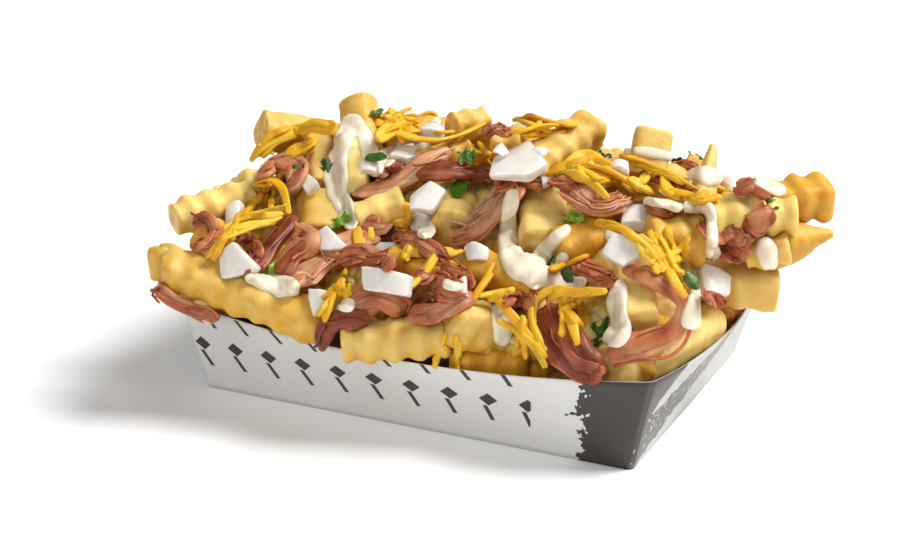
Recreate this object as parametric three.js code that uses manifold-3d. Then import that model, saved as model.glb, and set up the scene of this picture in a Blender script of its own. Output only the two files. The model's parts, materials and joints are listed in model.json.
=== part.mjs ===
// Carnitas fries: crinkle-cut fries heaped in an open paper food tray and topped with pulled
// pork, shredded cheese, diced onion, crema and chopped herb.
// Millimetres, +Z up, origin in the middle of the tray's underside, +X along its long side.
import * as THREE from 'three';
import { mergeVertices } from 'three/addons/utils/BufferGeometryUtils.js';
import Module from 'manifold-3d';

const wasm = await Module();
wasm.setup();

// Driving dimensions of the tray.
const TRAY = {
  length: 158,
  width: 112.2,
  height: 33,
  endFlare: 7.05,
  sideFlare: 3.9,
  corner: 2,
  paper: 0.8,
  sideBow: 7.4,
  endBow: 7.2,
  sideDip: 4.7,
  endDip: 1.9,
  cornerSplay: 4.2,
  levels: [0, 0.35, 0.7, 1],
  middle: [9, 5],
};

// Driving dimensions of the fries: a square stick with a wave along each face.
const FRY = { section: 12.6, wave: 8.2, ripple: 0.75, endTaper: 0.9 };

// Clearance kept between neighbours, and how far a topping sinks into what it lies on.
const GAP = 0.32;
const SINK = 0.7;

// How far a surface may move when the triangles of a flat face are joined, and the distance
// at which two corners are one.
const FLATNESS = 0.05;
const SAME_POINT = 1e-4;

// The viewpoint that the food was laid out from: a piece is placed by where it is seen, in
// pixels of a 912 x 558 picture, and by its depth.
const VIEW = {
  eye: new THREE.Vector3(249.5, -549.6, 252.8),
  turn: THREE.MathUtils.degToRad(25.17),
  tilt: THREE.MathUtils.degToRad(19.94),
  focal: 1818,
  middle: [456, 279],
};

// The solid middle of the heap, as half extents at rising levels, with round corners.
const CORE_CORNER = 16;
const CORE = [
  { z: 1.4, left: 75, right: 75, front: 52, back: 52 },
  { z: 34, left: 86, right: 88, front: 62, back: 60 },
  { z: 45, left: 79, right: 86, front: 43, back: 55 },
  { z: 61, left: 71, right: 80, front: 20, back: 46 },
  { z: 72, left: 58, right: 66, front: 2, back: 36 },
];

// Fries that show from the front: each runs from one seen point to the other, [u, v, depth].
const FRIES = [
  { from: [160, 264, -76], to: [325, 325, -66], size: 13.5, roll: 22, slant: 0.6 },
  { from: [343, 341, -73], to: [452, 335, -60], size: 13, roll: 8 },
  { from: [447, 322, -66], to: [518, 331, -46], size: 13, roll: 28 },
  { from: [452, 357, -58], to: [530, 367, -52], size: 12, roll: 10 },
  { from: [614, 372, -56], to: [712, 324, -2], size: 15, roll: 8 },
  { from: [631, 268, -26], to: [641, 326, -51], size: 12.5, roll: 5 },
  { from: [700, 282, 2], to: [777, 289, 12], size: 13.5, roll: 15 },
  { from: [764, 204, 14], to: [828, 196, 28], size: 14, roll: 10 },
  { from: [765, 249, 10], to: [832, 235, 20], size: 10.5, roll: 35 },
  { from: [748, 216, 4], to: [797, 216, 10], size: 11.5, roll: 10 },
  { from: [745, 254, 2], to: [790, 247, 6], size: 10, roll: 20 },
  { from: [708, 219, -8], to: [760, 207, 4], size: 12, roll: 12 },
  { from: [644, 182, 10], to: [654, 135, 22], size: 13, roll: 15 },
  { from: [697, 220, -4], to: [713, 145, 20], size: 8.5, roll: 40 },
  { from: [526, 174, -14], to: [591, 127, 20], size: 12.5, roll: 20 },
  { from: [524, 152, 14], to: [578, 138, 24], size: 10, roll: 10 },
  { from: [368, 172, -10], to: [358, 102, 8], size: 12.5, roll: 45 },
  { from: [260, 129, -14], to: [336, 143, 8], size: 12.5, roll: 30 },
  { from: [320, 190, -18], to: [320, 138, -4], size: 10.5, roll: 5 },
  { from: [356, 200, -22], to: [352, 142, -8], size: 10, roll: 12 },
  { from: [321, 240, -36], to: [322, 202, -22], size: 16, roll: 8 },
  { from: [173, 219, -54], to: [252, 197, -30], size: 11.5, roll: 18 },
  { from: [250, 214, -34], to: [250, 174, -24], size: 7.5, roll: 30 },
  { from: [204, 208, -40], to: [246, 188, -20], size: 8.5, roll: 10 },
  { from: [452, 230, -28], to: [458, 198, -12], size: 15, roll: 6 },
  { from: [542, 246, -24], to: [543, 196, -6], size: 15, roll: 4 },
  { from: [556, 252, -30], to: [612, 230, -14], size: 13, roll: 25 },
  { from: [646, 238, -18], to: [702, 240, -6], size: 14, roll: 20 },
  { from: [452, 126, 14], to: [486, 121, 26], size: 9, roll: 20 },
  { from: [712, 326, 6], to: [729, 311, 22], size: 7, roll: 20 },
  { from: [595, 336, -46], to: [593, 298, -34], size: 8, roll: 15 },
  { from: [203, 240, -56], to: [268, 238, -26], size: 11, roll: 30 },
  { from: [388, 178, -10], to: [470, 154, 12], size: 12, roll: 0 },
  { from: [470, 266, -40], to: [540, 290, -46], size: 12, roll: 30 },
  { from: [392, 262, -42], to: [455, 284, -50], size: 12, roll: 10 },
  { from: [232, 284, -60], to: [300, 264, -46], size: 12, roll: 20 },
];

// Fries of the ends and the back, which run between points [x, y, z].
const FRIES_BEHIND = [
  { from: [-80, 57, 41], to: [-22, 60, 40], size: 12.4, roll: 5 },
  { from: [-12, 61, 39], to: [42, 60, 42], size: 12, roll: 20 },
  { from: [50, 57, 43], to: [86, 42, 50], size: 12.4, roll: 10 },
  { from: [-74, 50, 57], to: [-34, 55, 50], size: 12, roll: 30 },
  { from: [-30, 55, 48], to: [2, 48, 66], size: 12.6, roll: 0 },
  { from: [2, 55, 56], to: [40, 53, 54], size: 11.5, roll: 15 },
  { from: [44, 56, 52], to: [66, 42, 70], size: 12.4, roll: 35 },
  { from: [-62, 38, 71], to: [-24, 43, 68], size: 12.4, roll: 10 },
  { from: [8, 44, 69], to: [46, 38, 67.5], size: 12, roll: 40 },
  { from: [-40, 30, 75], to: [0, 33, 73], size: 12.6, roll: 5 },
  { from: [66, 40, 62], to: [92, 18, 60], size: 12, roll: 25 },
  { from: [88, 56, 42], to: [91, 22, 45], size: 12, roll: 0 },
  { from: [-82, 38, 58], to: [-74, 4, 64], size: 12.4, roll: 20 },
  { from: [-86, 46, 42], to: [-88, -6, 44], size: 12.4, roll: 8 },
  { from: [-84, -16, 54], to: [-82, 20, 52], size: 11.5, roll: 15 },
  { from: [-86, -10, 40], to: [-84, -48, 40], size: 12, roll: 5 },
  { from: [10, 40, 72], to: [44, 18, 73], size: 12, roll: 10 },
  { from: [-6, 22, 77], to: [26, 36, 75], size: 11.5, roll: 20 },
  { from: [-67, 34, 64], to: [-52, 8, 72], size: 12, roll: 15 },
  { from: [-50, 22, 72], to: [-30, 6, 77], size: 11.5, roll: 30 },
  { from: [46, 30, 73], to: [72, 28, 65], size: 12, roll: 0 },
];

// Pulled pork: a path of seen points [u, v], and the strand's width and thickness.
const CARNITAS = {
  upper_left: { path: [[264, 177], [278, 164], [298, 168], [293, 190]], wide: 10, thick: 6 },
  left_strand: { path: [[292, 216], [283, 232], [268, 252], [248, 273]], wide: 7.5, thick: 5 },
  left_fold: { path: [[298, 224], [308, 241], [294, 256], [282, 275]], wide: 10, thick: 6 },
  left_slab: { path: [[297, 286], [318, 264], [345, 246], [380, 233]], wide: 11, thick: 5 },
  left_hook: { path: [[194, 218], [211, 223], [215, 238], [200, 248], [190, 243]], wide: 6, thick: 5 },
  rim_strand: { path: [[160, 288], [174, 300], [194, 311], [216, 317]], wide: 4.6, thick: 4.5 },
  top_strand: {
    path: [[352, 195], [382, 190], [408, 178], [428, 162], [450, 150]],
    wide: 10,
    thick: 6,
  },
  top_band: { path: [[418, 173], [455, 171], [492, 180]], wide: 9.5, thick: 6 },
  middle_shreds: { path: [[512, 192], [494, 210], [474, 232], [452, 236]], wide: 10, thick: 7 },
  right_curls: { path: [[562, 186], [584, 196], [600, 206], [622, 202]], wide: 11, thick: 7 },
  right_dark: { path: [[640, 172], [664, 180], [692, 190]], wide: 7, thick: 5 },
  front_lobe: { path: [[355, 308], [378, 298], [402, 306]], wide: 10, thick: 7 },
  front_roll: { path: [[408, 315], [432, 314], [456, 302], [472, 294]], wide: 7.5, thick: 6 },
  front_hook: { path: [[322, 336], [330, 324], [345, 318], [364, 322]], wide: 7, thick: 5 },
  front_chunk: { path: [[552, 312], [556, 336], [574, 360], [602, 372]], wide: 15, thick: 8 },
  long_curve: {
    path: [[622, 268], [652, 280], [683, 303], [674, 330], [645, 344], [606, 356]],
    wide: 8,
    thick: 5.5,
  },
  right_shreds: { path: [[772, 208], [754, 226], [738, 240], [724, 258]], wide: 9, thick: 6 },
  right_top: { path: [[736, 192], [750, 186], [764, 194]], wide: 6, thick: 5 },
};

// Crema: thick poured ribbons and blobs.
const CREMA = {
  left: { path: [[246, 279], [266, 284], [284, 288], [298, 292]], wide: 7.5, thick: 3.4 },
  loop: {
    path: [[340, 212], [334, 178], [338, 146], [352, 124], [366, 138], [377, 162], [366, 184]],
    wide: 7.4,
    thick: 3.2,
  },
  pour: {
    path: [[510, 196], [504, 228], [506, 252], [532, 260], [554, 246], [570, 227]],
    wide: 9,
    thick: 3.4,
  },
  pool: { path: [[512, 270], [540, 277], [564, 281], [588, 281]], wide: 8, thick: 3 },
  drip: {
    path: [[680, 208], [698, 206], [711, 216], [712, 236], [711, 260]],
    wide: 4.8,
    thick: 3.4,
  },
  front: { path: [[622, 281], [614, 306], [617, 331], [602, 348]], wide: 8.8, thick: 3.3 },
  blob: { path: [[494, 308], [503, 326], [501, 346]], wide: 7.5, thick: 3.2 },
  right_blob: { path: [[763, 238], [768, 254], [769, 270]], wide: 7, thick: 3.4 },
  corner_blob: { path: [[696, 282], [693, 306], [687, 330]], wide: 7.5, thick: 3.2 },
  right_top: { path: [[688, 178], [704, 173], [720, 180]], wide: 8, thick: 3.4 },
};

// Diced onion: the middle of each piece, its length, width and thickness, and its turn.
const ONION = {
  top: { at: [518, 156], size: [18, 15, 5], turn: -20 },
  right: { at: [634, 212], size: [10, 10, 5], turn: 5 },
  rim: { at: [717, 279], size: [11.5, 11, 6], turn: -12 },
  middle: { at: [424, 198], size: [10, 13, 5], turn: -15 },
  bar: { at: [377, 249], size: [12, 5.5, 5], turn: 3 },
  large: { at: [384, 281], size: [17, 10, 6], turn: 12 },
  left: { at: [232, 260], size: [14, 9, 5], turn: -12 },
  lower_left: { at: [317, 298], size: [10, 9, 5], turn: -30 },
  upper_left: { at: [230, 214], size: [7, 11, 4], turn: 15 },
  slice: { at: [329, 239], size: [12, 6, 5], turn: -18 },
  top_left: { at: [404, 150], size: [10, 6.5, 5], turn: -25 },
  crest: { at: [432, 126], size: [10, 9, 5], turn: 10 },
  under_cheese: { at: [624, 248], size: [12, 9, 5], turn: 30 },
};

// Shredded cheese: tufts of crossing strands, each strand a path of seen points.
const CHEESE = {
  upper_left: [
    [[250, 162], [262, 147], [282, 135], [302, 128]],
    [[284, 158], [296, 150], [312, 140], [296, 127]],
    [[296, 130], [318, 126], [338, 130]],
  ],
  top_left: [
    [[374, 124], [392, 117], [408, 109]],
    [[376, 141], [392, 128], [412, 122]],
    [[390, 130], [420, 139], [452, 138], [484, 123]],
  ],
  crest: [
    [[512, 119], [540, 121], [576, 126]],
    [[510, 132], [534, 129], [562, 122]],
  ],
  left: [
    [[252, 186], [268, 180], [282, 188], [289, 214]],
    [[222, 232], [240, 220], [264, 214], [290, 206]],
    [[220, 241], [246, 230], [282, 216]],
    [[206, 258], [222, 240], [236, 222]],
  ],
  middle: [
    [[353, 203], [376, 213], [402, 222], [420, 232]],
    [[406, 202], [408, 218], [400, 240]],
  ],
  centre: [
    [[402, 262], [408, 248], [422, 238]],
    [[404, 252], [432, 253], [464, 252]],
    [[404, 292], [420, 278], [433, 256]],
  ],
  lower_left: [
    [[324, 320], [332, 298], [346, 272]],
    [[330, 300], [342, 292], [352, 296]],
  ],
  front: [
    [[474, 302], [484, 280], [494, 262]],
    [[478, 296], [498, 293], [516, 290]],
    [[494, 296], [514, 318], [534, 346], [546, 368]],
    [[536, 294], [532, 322], [538, 350], [546, 368]],
    [[520, 322], [524, 342], [526, 360]],
  ],
  front_right: [
    [[534, 300], [552, 290], [580, 292], [608, 291]],
    [[556, 290], [570, 318], [578, 346]],
  ],
  top_right: [
    [[548, 173], [574, 164], [602, 165], [622, 176], [641, 192]],
    [[562, 168], [584, 157], [606, 166]],
    [[570, 176], [594, 180], [618, 180]],
  ],
  crest_right: [
    [[622, 155], [646, 163], [672, 174], [698, 190]],
    [[628, 177], [648, 190], [668, 201]],
    [[664, 170], [668, 190], [690, 201], [722, 196]],
  ],
  right: [
    [[596, 222], [620, 229], [645, 246], [656, 262]],
    [[656, 232], [664, 250], [671, 274], [686, 298]],
    [[638, 234], [652, 250], [668, 262]],
    [[690, 236], [678, 250], [662, 256]],
  ],
};

// Toppings on the far side, placed in plan [x, y].
const CARNITAS_BEHIND = {
  back_left: { plan: [[-56, 64], [-44, 58], [-30, 58], [-18, 66]], wide: 9, thick: 6 },
  back_right: { plan: [[22, 58], [34, 64], [50, 62]], wide: 8, thick: 6 },
};
const CREMA_BEHIND = {
  back: { plan: [[-14, 54], [-4, 60], [8, 60], [16, 67]], wide: 7, thick: 3.4 },
};
const ONION_BEHIND = {
  back_left: { at: [-40, 62], size: [12, 10, 5], turn: 20 },
};
const CHEESE_BEHIND = {
  back_left: [
    [[-70, 40], [-54, 46], [-40, 42]],
    [[-60, 56], [-56, 44], [-50, 34]],
  ],
};

// Chopped herb: each scrap is joined to what it lies on.
const HERB = {
  places: [
    [263, 190], [340, 222], [575, 218], [467, 157],
    [445, 238], [326, 166], [598, 330], [771, 202],
  ],
  length: 7.5,
  width: 4.5,
  thick: 1,
  widths: [0.35, 1, 0.65, 0.95, 0.3],
  waviness: 0.6,
  turnStep: 1.7,
  leastHold: 0.2,
};

const CHEESE_STRAND = { wide: 3.6, thick: 2.4 };

// Closed surface through rings of equally many points, with a flat cap on each end ring.
function loft(rings, hubs) {
  const count = rings[0].length;
  const corners = rings.flat();
  const faces = [];
  for (let row = 0; row + 1 < rings.length; row += 1) {
    for (let i = 0; i < count; i += 1) {
      const next = (i + 1) % count;
      const a = row * count + i;
      const b = row * count + next;
      faces.push(a, b, b + count, a, b + count, a + count);
    }
  }
  const last = (rings.length - 1) * count;
  corners.push(hubs[0], hubs[1]);
  for (let i = 0; i < count; i += 1) {
    const next = (i + 1) % count;
    faces.push(rings.length * count, next, i);
    faces.push(rings.length * count + 1, last + i, last + next);
  }
  const geometry = new THREE.BufferGeometry().setFromPoints(corners);
  geometry.setIndex(faces);
  return geometry;
}

function middleOf(ring) {
  const middle = new THREE.Vector3();
  ring.forEach((point) => middle.addScaledVector(point, 1 / ring.length));
  return middle;
}

// Turns a closed geometry into a solid for cutting and joining.
function toSolid(geometry) {
  geometry.deleteAttribute('normal');
  geometry.deleteAttribute('uv');
  const merged = mergeVertices(geometry, SAME_POINT);
  const vertProperties = new Float32Array(merged.attributes.position.array);
  const triVerts = new Uint32Array(merged.index.array);
  return new wasm.Manifold(new wasm.Mesh({ numProp: 3, vertProperties, triVerts }));
}

function toGeometry(solid) {
  const mesh = solid.getMesh();
  const geometry = new THREE.BufferGeometry();
  geometry.setAttribute('position', new THREE.BufferAttribute(mesh.vertProperties, 3));
  geometry.setIndex(new THREE.BufferAttribute(mesh.triVerts, 1));
  return geometry;
}

// The largest body alone, so that loose scraps go, with its flat faces in few triangles.
function largest(solid) {
  const bodies = solid.decompose();
  const biggest = bodies.reduce((best, body) => (body.volume() > best.volume() ? body : best));
  return biggest.asOriginal().simplify(FLATNESS);
}

// Outline of a rectangle with round corners, anticlockwise from the right end, its sides cut
// into the given numbers of steps.
function roundRectangle({ left, right, front, back }, radius, sideSteps) {
  const arcSteps = 2;
  const corners = [
    [right - radius, back - radius, 0],
    [radius - left, back - radius, 90],
    [radius - left, radius - front, 180],
    [right - radius, radius - front, 270],
  ];
  const points = [];
  corners.forEach(([x, y, start], corner) => {
    for (let i = 0; i <= arcSteps; i += 1) {
      const angle = THREE.MathUtils.degToRad(start + (90 * i) / arcSteps);
      points.push(new THREE.Vector2(x + radius * Math.cos(angle), y + radius * Math.sin(angle)));
    }
    const [nextX, nextY, nextStart] = corners[(corner + 1) % 4];
    const turn = THREE.MathUtils.degToRad(nextStart);
    const end = new THREE.Vector2(nextX + radius * Math.cos(turn), nextY + radius * Math.sin(turn));
    const begin = points[points.length - 1];
    for (let i = 1; i < sideSteps[corner]; i += 1) {
      points.push(begin.clone().lerp(end, i / sideSteps[corner]));
    }
  });
  return points;
}

// One ring of the tray's wall at a share of its height, moved inwards by a distance.
function trayRing(share, inwards, lift) {
  const halfLength = TRAY.length / 2 + TRAY.endFlare * share;
  const halfWidth = TRAY.width / 2 + TRAY.sideFlare * share;
  const reach = { left: halfLength, right: halfLength, front: halfWidth, back: halfWidth };
  const flat = roundRectangle(reach, TRAY.corner, [7, 4, 7, 4]);
  const shaped = flat.map((point) => {
    const along = point.x / halfLength;
    const across = point.y / halfWidth;
    const onEnd = (1 - across ** 2) * along ** 8;
    const onSide = (1 - along ** 2) * across ** 8;
    const splay = along > 0 && across > 0 ? TRAY.cornerSplay * (along * across) ** 4 : 0;
    const x = point.x + share ** 2 * (Math.sign(along) * TRAY.endBow * onEnd + splay);
    const y = point.y + share ** 2 * (Math.sign(across) * TRAY.sideBow * onSide + splay);
    const z = share * (TRAY.height - TRAY.endDip * onEnd - TRAY.sideDip * onSide) + lift;
    return new THREE.Vector3(x, y, z);
  });
  return shaped.map((point, i) => {
    const before = shaped[(i + shaped.length - 1) % shaped.length];
    const after = shaped[(i + 1) % shaped.length];
    const inward = new THREE.Vector3(before.y - after.y, after.x - before.x, 0).normalize();
    return point.clone().addScaledVector(inward, inwards);
  });
}

// The tray: outside wall up to the rim, inside wall down to the floor.
function trayGeometry(grow) {
  const shares = TRAY.levels;
  const outside = shares.map((share) => trayRing(share, -grow, share === 1 ? grow : 0));
  const inside = shares.map((share) => trayRing(share, TRAY.paper + grow, share === 1 ? grow : 0));
  inside[0].forEach((point) => point.setZ(TRAY.paper + grow));
  const hub = new THREE.Vector3(...TRAY.middle, 0);
  return loft([...outside, ...inside.reverse()], [hub, hub.clone().setZ(TRAY.paper + grow)]);
}

function coreGeometry(grow) {
  const rings = CORE.map(({ z, left, right, front, back }) => {
    const reach = { left: left + grow, right: right + grow, front: front + grow, back: back + grow };
    const outline = roundRectangle(reach, CORE_CORNER, [2, 1, 2, 1]);
    return outline.map((point) => new THREE.Vector3(point.x, point.y, z));
  });
  rings[rings.length - 1].forEach((point) => point.setZ(point.z + grow));
  return loft(rings, [middleOf(rings[0]), middleOf(rings[rings.length - 1])]);
}

// Direction of the line of sight through a pixel.
function sightDirection(u, v) {
  const { turn, tilt, focal, middle } = VIEW;
  const right = new THREE.Vector3(Math.cos(turn), Math.sin(turn), 0);
  const ahead = new THREE.Vector3(-Math.sin(turn), Math.cos(turn), 0);
  ahead.multiplyScalar(Math.cos(tilt)).setZ(-Math.sin(tilt));
  const up = new THREE.Vector3().crossVectors(right, ahead);
  const direction = ahead.clone().addScaledVector(right, (u - middle[0]) / focal);
  return direction.addScaledVector(up, (middle[1] - v) / focal).normalize();
}

// The point where the line of sight through a pixel reaches a depth y.
function seenAt([u, v, depth]) {
  const direction = sightDirection(u, v);
  const distance = (depth - VIEW.eye.y) / direction.y;
  return VIEW.eye.clone().addScaledVector(direction, distance);
}

// Outward direction of the heap at a point: away from a line along its inside.
const INNER_LINE = { halfLength: 50, y: 12, z: 8 };

function outward(point) {
  const { halfLength, y, z } = INNER_LINE;
  const inner = new THREE.Vector3(THREE.MathUtils.clamp(point.x, -halfLength, halfLength), y, z);
  return point.clone().sub(inner).normalize();
}

// A crinkle-cut fry from one point to another, four-sided, its faces waving in and out. Grown
// for clearance it is the plain stick that holds the waves.
function fryGeometry(from, to, { size, roll = 0, slant = 0 }, grow) {
  const axis = to.clone().sub(from);
  const length = axis.length();
  axis.normalize();
  const reference = Math.abs(axis.z) > 0.8 ? new THREE.Vector3(1, 0, 0) : new THREE.Vector3(0, 0, 1);
  const side = new THREE.Vector3().crossVectors(axis, reference).normalize();
  side.applyAxisAngle(axis, THREE.MathUtils.degToRad(roll));
  const top = new THREE.Vector3().crossVectors(side, axis);
  const steps = grow > 0 ? 1 : Math.max(3, Math.round((2 * length) / FRY.wave));
  const rings = [];
  for (let i = 0; i <= steps; i += 1) {
    const atEnd = i === 0 || i === steps;
    const wave = i % 2 || grow > 0 ? FRY.ripple : -FRY.ripple;
    const half = grow > 0 ? size / 2 + wave + grow : (size / 2 + wave) * (atEnd ? FRY.endTaper : 1);
    const along = (length + 2 * grow) * (i / steps) - grow;
    const ring = [[1, 1], [1, -1], [-1, -1], [-1, 1]].map(([x, y]) => {
      const shear = i === 0 && grow === 0 ? slant * half * x : 0;
      const point = from.clone().addScaledVector(axis, along + shear);
      return point.addScaledVector(side, half * x).addScaledVector(top, half * y);
    });
    rings.push(ring);
  }
  return loft(rings, [middleOf(rings[0]), middleOf(rings[steps])]);
}

// The heap of fries: its core with every fry joined on, clear of the tray.
function heapSolid(grow) {
  let heap = toSolid(coreGeometry(grow));
  FRIES.forEach((fry) => {
    heap = heap.add(toSolid(fryGeometry(seenAt(fry.from), seenAt(fry.to), fry, grow)));
  });
  FRIES_BEHIND.forEach((fry) => {
    const from = new THREE.Vector3(...fry.from);
    const to = new THREE.Vector3(...fry.to);
    heap = heap.add(toSolid(fryGeometry(from, to, fry, grow)));
  });
  return heap;
}

// Finds where lines of sight, or plumb lines for a plan, meet what is already laid down.
const FARTHEST = 645;
const PLUMB_START = 200;
const PIXELS_PER_MM = 2.9;
const laid = [];
const caster = new THREE.Raycaster();

function distanceTo(origin, direction) {
  caster.set(origin, direction);
  const hits = caster.intersectObjects(laid, false);
  return hits.length ? hits[0].distance : Infinity;
}

// The ray that looks for a topping's place: down the line of sight, or plumb from above.
function rayFor(x, y, isPlan) {
  return isPlan
    ? { origin: new THREE.Vector3(x, y, PLUMB_START), direction: new THREE.Vector3(0, 0, -1) }
    : { origin: VIEW.eye, direction: sightDirection(x, y) };
}

// A topping touches down over this share of its width; along a strand the depth changes by no
// more than the drop, and a point sags below its neighbours by no more than the sag.
const DRAPE = { share: 0.8, drop: 30, sag: 0.5, passes: 60 };

// Points of a topping's path on the surface, clear of what is under its whole width, so that a
// strand bridges the gaps under it.
function drapedPath(flatPoints, isPlan, steps, wide) {
  const curve = new THREE.SplineCurve(flatPoints.map(([a, b]) => new THREE.Vector2(a, b)));
  const halfWide = (wide / 2) * (isPlan ? 1 : PIXELS_PER_MM) * DRAPE.share;
  const rays = curve.getPoints(steps).map(({ x, y }, i) => {
    const across = curve.getTangent(i / steps).rotateAround(new THREE.Vector2(), Math.PI / 2);
    const reaches = [-halfWide, 0, halfWide].map((shift) => {
      const { origin, direction } = rayFor(x + across.x * shift, y + across.y * shift, isPlan);
      return distanceTo(origin, direction);
    });
    return { ...rayFor(x, y, isPlan), distance: Math.min(...reaches) };
  });
  const nearest = Math.min(FARTHEST, ...rays.map((ray) => ray.distance));
  const farthest = nearest + DRAPE.drop;
  rays.forEach((ray) => {
    ray.distance = Math.min(ray.distance, farthest);
  });
  for (let pass = 0; pass < DRAPE.passes; pass += 1) {
    for (let i = 1; i < rays.length - 1; i += 1) {
      const straight = (rays[i - 1].distance + rays[i + 1].distance) / 2;
      rays[i].distance = Math.min(rays[i].distance, straight + DRAPE.sag);
    }
  }
  return rays.map((ray) => ray.origin.clone().addScaledVector(ray.direction, ray.distance));
}

// A strand along points, of the given width and thickness, smaller at its ends.
const STRAND_END = 0.6;

function strandGeometry(points, wide, thick, sides, grow) {
  const last = points.length - 1;
  const fullness = sides === 4 ? Math.SQRT2 : 1.07;
  const rings = points.map((point, i) => {
    const before = points[Math.max(i - 1, 0)];
    const after = points[Math.min(i + 1, last)];
    const ahead = after.clone().sub(before).normalize();
    const up = outward(point);
    const side = new THREE.Vector3().crossVectors(ahead, up).normalize();
    up.crossVectors(side, ahead);
    const end = i === 0 || i === last;
    const halfWide = (wide / 2) * (end ? STRAND_END : 1) + grow;
    const halfThick = (thick / 2) * (end ? STRAND_END : 1) + grow;
    const centre = point.clone().addScaledVector(up, thick / 2 - SINK);
    centre.addScaledVector(ahead, end ? Math.sign(i - 0.5) * grow : 0);
    const ring = [];
    for (let k = 0; k < sides; k += 1) {
      const angle = (2 * Math.PI * (k + 0.5)) / sides;
      const offset = centre.clone().addScaledVector(side, halfWide * fullness * Math.cos(angle));
      ring.push(offset.addScaledVector(up, -halfThick * fullness * Math.sin(angle)));
    }
    return ring;
  });
  return loft(rings, [middleOf(rings[0]), middleOf(rings[last])]);
}

// A slightly curved block of onion with soft edges, lying flat on what is under it: the share
// of its size at each share of its height, how square its outline is, and its curl.
const DICE = { levels: [[0, 0.9], [0.6, 1], [1, 0.88]], square: 0.45, curl: 1.2, corners: 8 };

function diceGeometry(at, isPlan, [long, wide, thick], turn, grow) {
  const { origin, direction } = rayFor(...at, isPlan);
  const reach = (Math.min(long, wide) / 2) * (isPlan ? 1 : PIXELS_PER_MM) * DRAPE.share;
  const reaches = [[0, 0], [reach, 0], [-reach, 0], [0, reach], [0, -reach]].map(([x, y]) => {
    const ray = rayFor(at[0] + x, at[1] + y, isPlan);
    return distanceTo(ray.origin, ray.direction);
  });
  const distance = Math.min(FARTHEST, ...reaches);
  const centre = origin.clone().addScaledVector(direction, distance);
  const up = outward(centre);
  const side = new THREE.Vector3(1, 0, 0).cross(up).cross(up).negate().normalize();
  side.applyAxisAngle(up, THREE.MathUtils.degToRad(turn));
  const ahead = new THREE.Vector3().crossVectors(up, side);
  const rings = DICE.levels.map(([height, spreadOut]) => {
    const halfLong = (long / 2) * spreadOut + grow;
    const halfWide = (wide / 2) * spreadOut + grow;
    const level = (thick + 2 * grow) * height - grow - SINK;
    const ring = [];
    for (let k = 0; k < DICE.corners; k += 1) {
      const angle = (2 * Math.PI * (k + 0.5)) / DICE.corners;
      const [cos, sin] = [Math.cos(angle), Math.sin(angle)];
      const x = halfLong * Math.sign(cos) * Math.abs(cos) ** DICE.square;
      const y = halfWide * Math.sign(sin) * Math.abs(sin) ** DICE.square;
      const curl = DICE.curl * (1 - (x / halfLong) ** 2);
      const point = centre.clone().addScaledVector(side, x).addScaledVector(ahead, y);
      ring.push(point.addScaledVector(up, level + curl));
    }
    return ring;
  });
  return loft(rings, [middleOf(rings[0]), middleOf(rings[rings.length - 1])]);
}

// A scrap of herb: a thin leaf with a wavy edge, lying on what is under it.
function leafGeometry(at, turn) {
  const direction = sightDirection(...at);
  const distance = Math.min(distanceTo(VIEW.eye, direction), FARTHEST);
  const centre = VIEW.eye.clone().addScaledVector(direction, distance);
  const up = outward(centre);
  const ahead = new THREE.Vector3(1, 0, 0).cross(up).normalize().applyAxisAngle(up, turn);
  const side = new THREE.Vector3().crossVectors(ahead, up);
  const last = HERB.widths.length - 1;
  const rings = HERB.widths.map((width, i) => {
    const share = i / last - 0.5;
    const middle = centre.clone().addScaledVector(ahead, share * HERB.length);
    middle.addScaledVector(up, HERB.waviness * Math.cos(4 * Math.PI * share));
    const half = (HERB.width / 2) * width;
    const thick = HERB.thick / 2;
    return [[1, -1], [-1, -1], [-1, 1], [1, 1]].map(([x, y]) => {
      const point = middle.clone().addScaledVector(side, half * x);
      return point.addScaledVector(up, thick * y);
    });
  });
  return loft(rings, [middleOf(rings[0]), middleOf(rings[last])]);
}

const MATERIALS = {
  tray: new THREE.MeshStandardMaterial({ color: 0xecebe8, roughness: 0.6, metalness: 0 }),
  fries: new THREE.MeshStandardMaterial({ color: 0xe3bf6e, roughness: 0.6, metalness: 0 }),
  carnitas: new THREE.MeshStandardMaterial({ color: 0x9c5f47, roughness: 0.55, metalness: 0 }),
  crema: new THREE.MeshStandardMaterial({ color: 0xf2ece0, roughness: 0.35, metalness: 0 }),
  onion: new THREE.MeshStandardMaterial({ color: 0xe6e2da, roughness: 0.3, metalness: 0 }),
  cheese: new THREE.MeshStandardMaterial({ color: 0xe9b32f, roughness: 0.45, metalness: 0 }),
};

const food = new THREE.Group();
const taken = [];

// Adds a node to the group, and remembers its solid so that later ones keep clear of it.
function place(name, kind, solid, grown) {
  const mesh = new THREE.Mesh(toGeometry(solid), MATERIALS[kind]);
  mesh.name = name;
  food.add(mesh);
  laid.push(mesh);
  taken.push({ name, kind, solid, grown });
}

// Cuts a topping free of every node before it, and keeps its largest body.
function placeTopping(name, kind, build) {
  let solid = build(0);
  const box = solid.boundingBox();
  taken.forEach(({ grown }) => {
    const other = grown.boundingBox();
    const apart = [0, 1, 2].some((k) => box.max[k] < other.min[k] || box.min[k] > other.max[k]);
    solid = apart ? solid : solid.subtract(grown);
  });
  place(name, kind, largest(solid), build(GAP));
}

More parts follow.
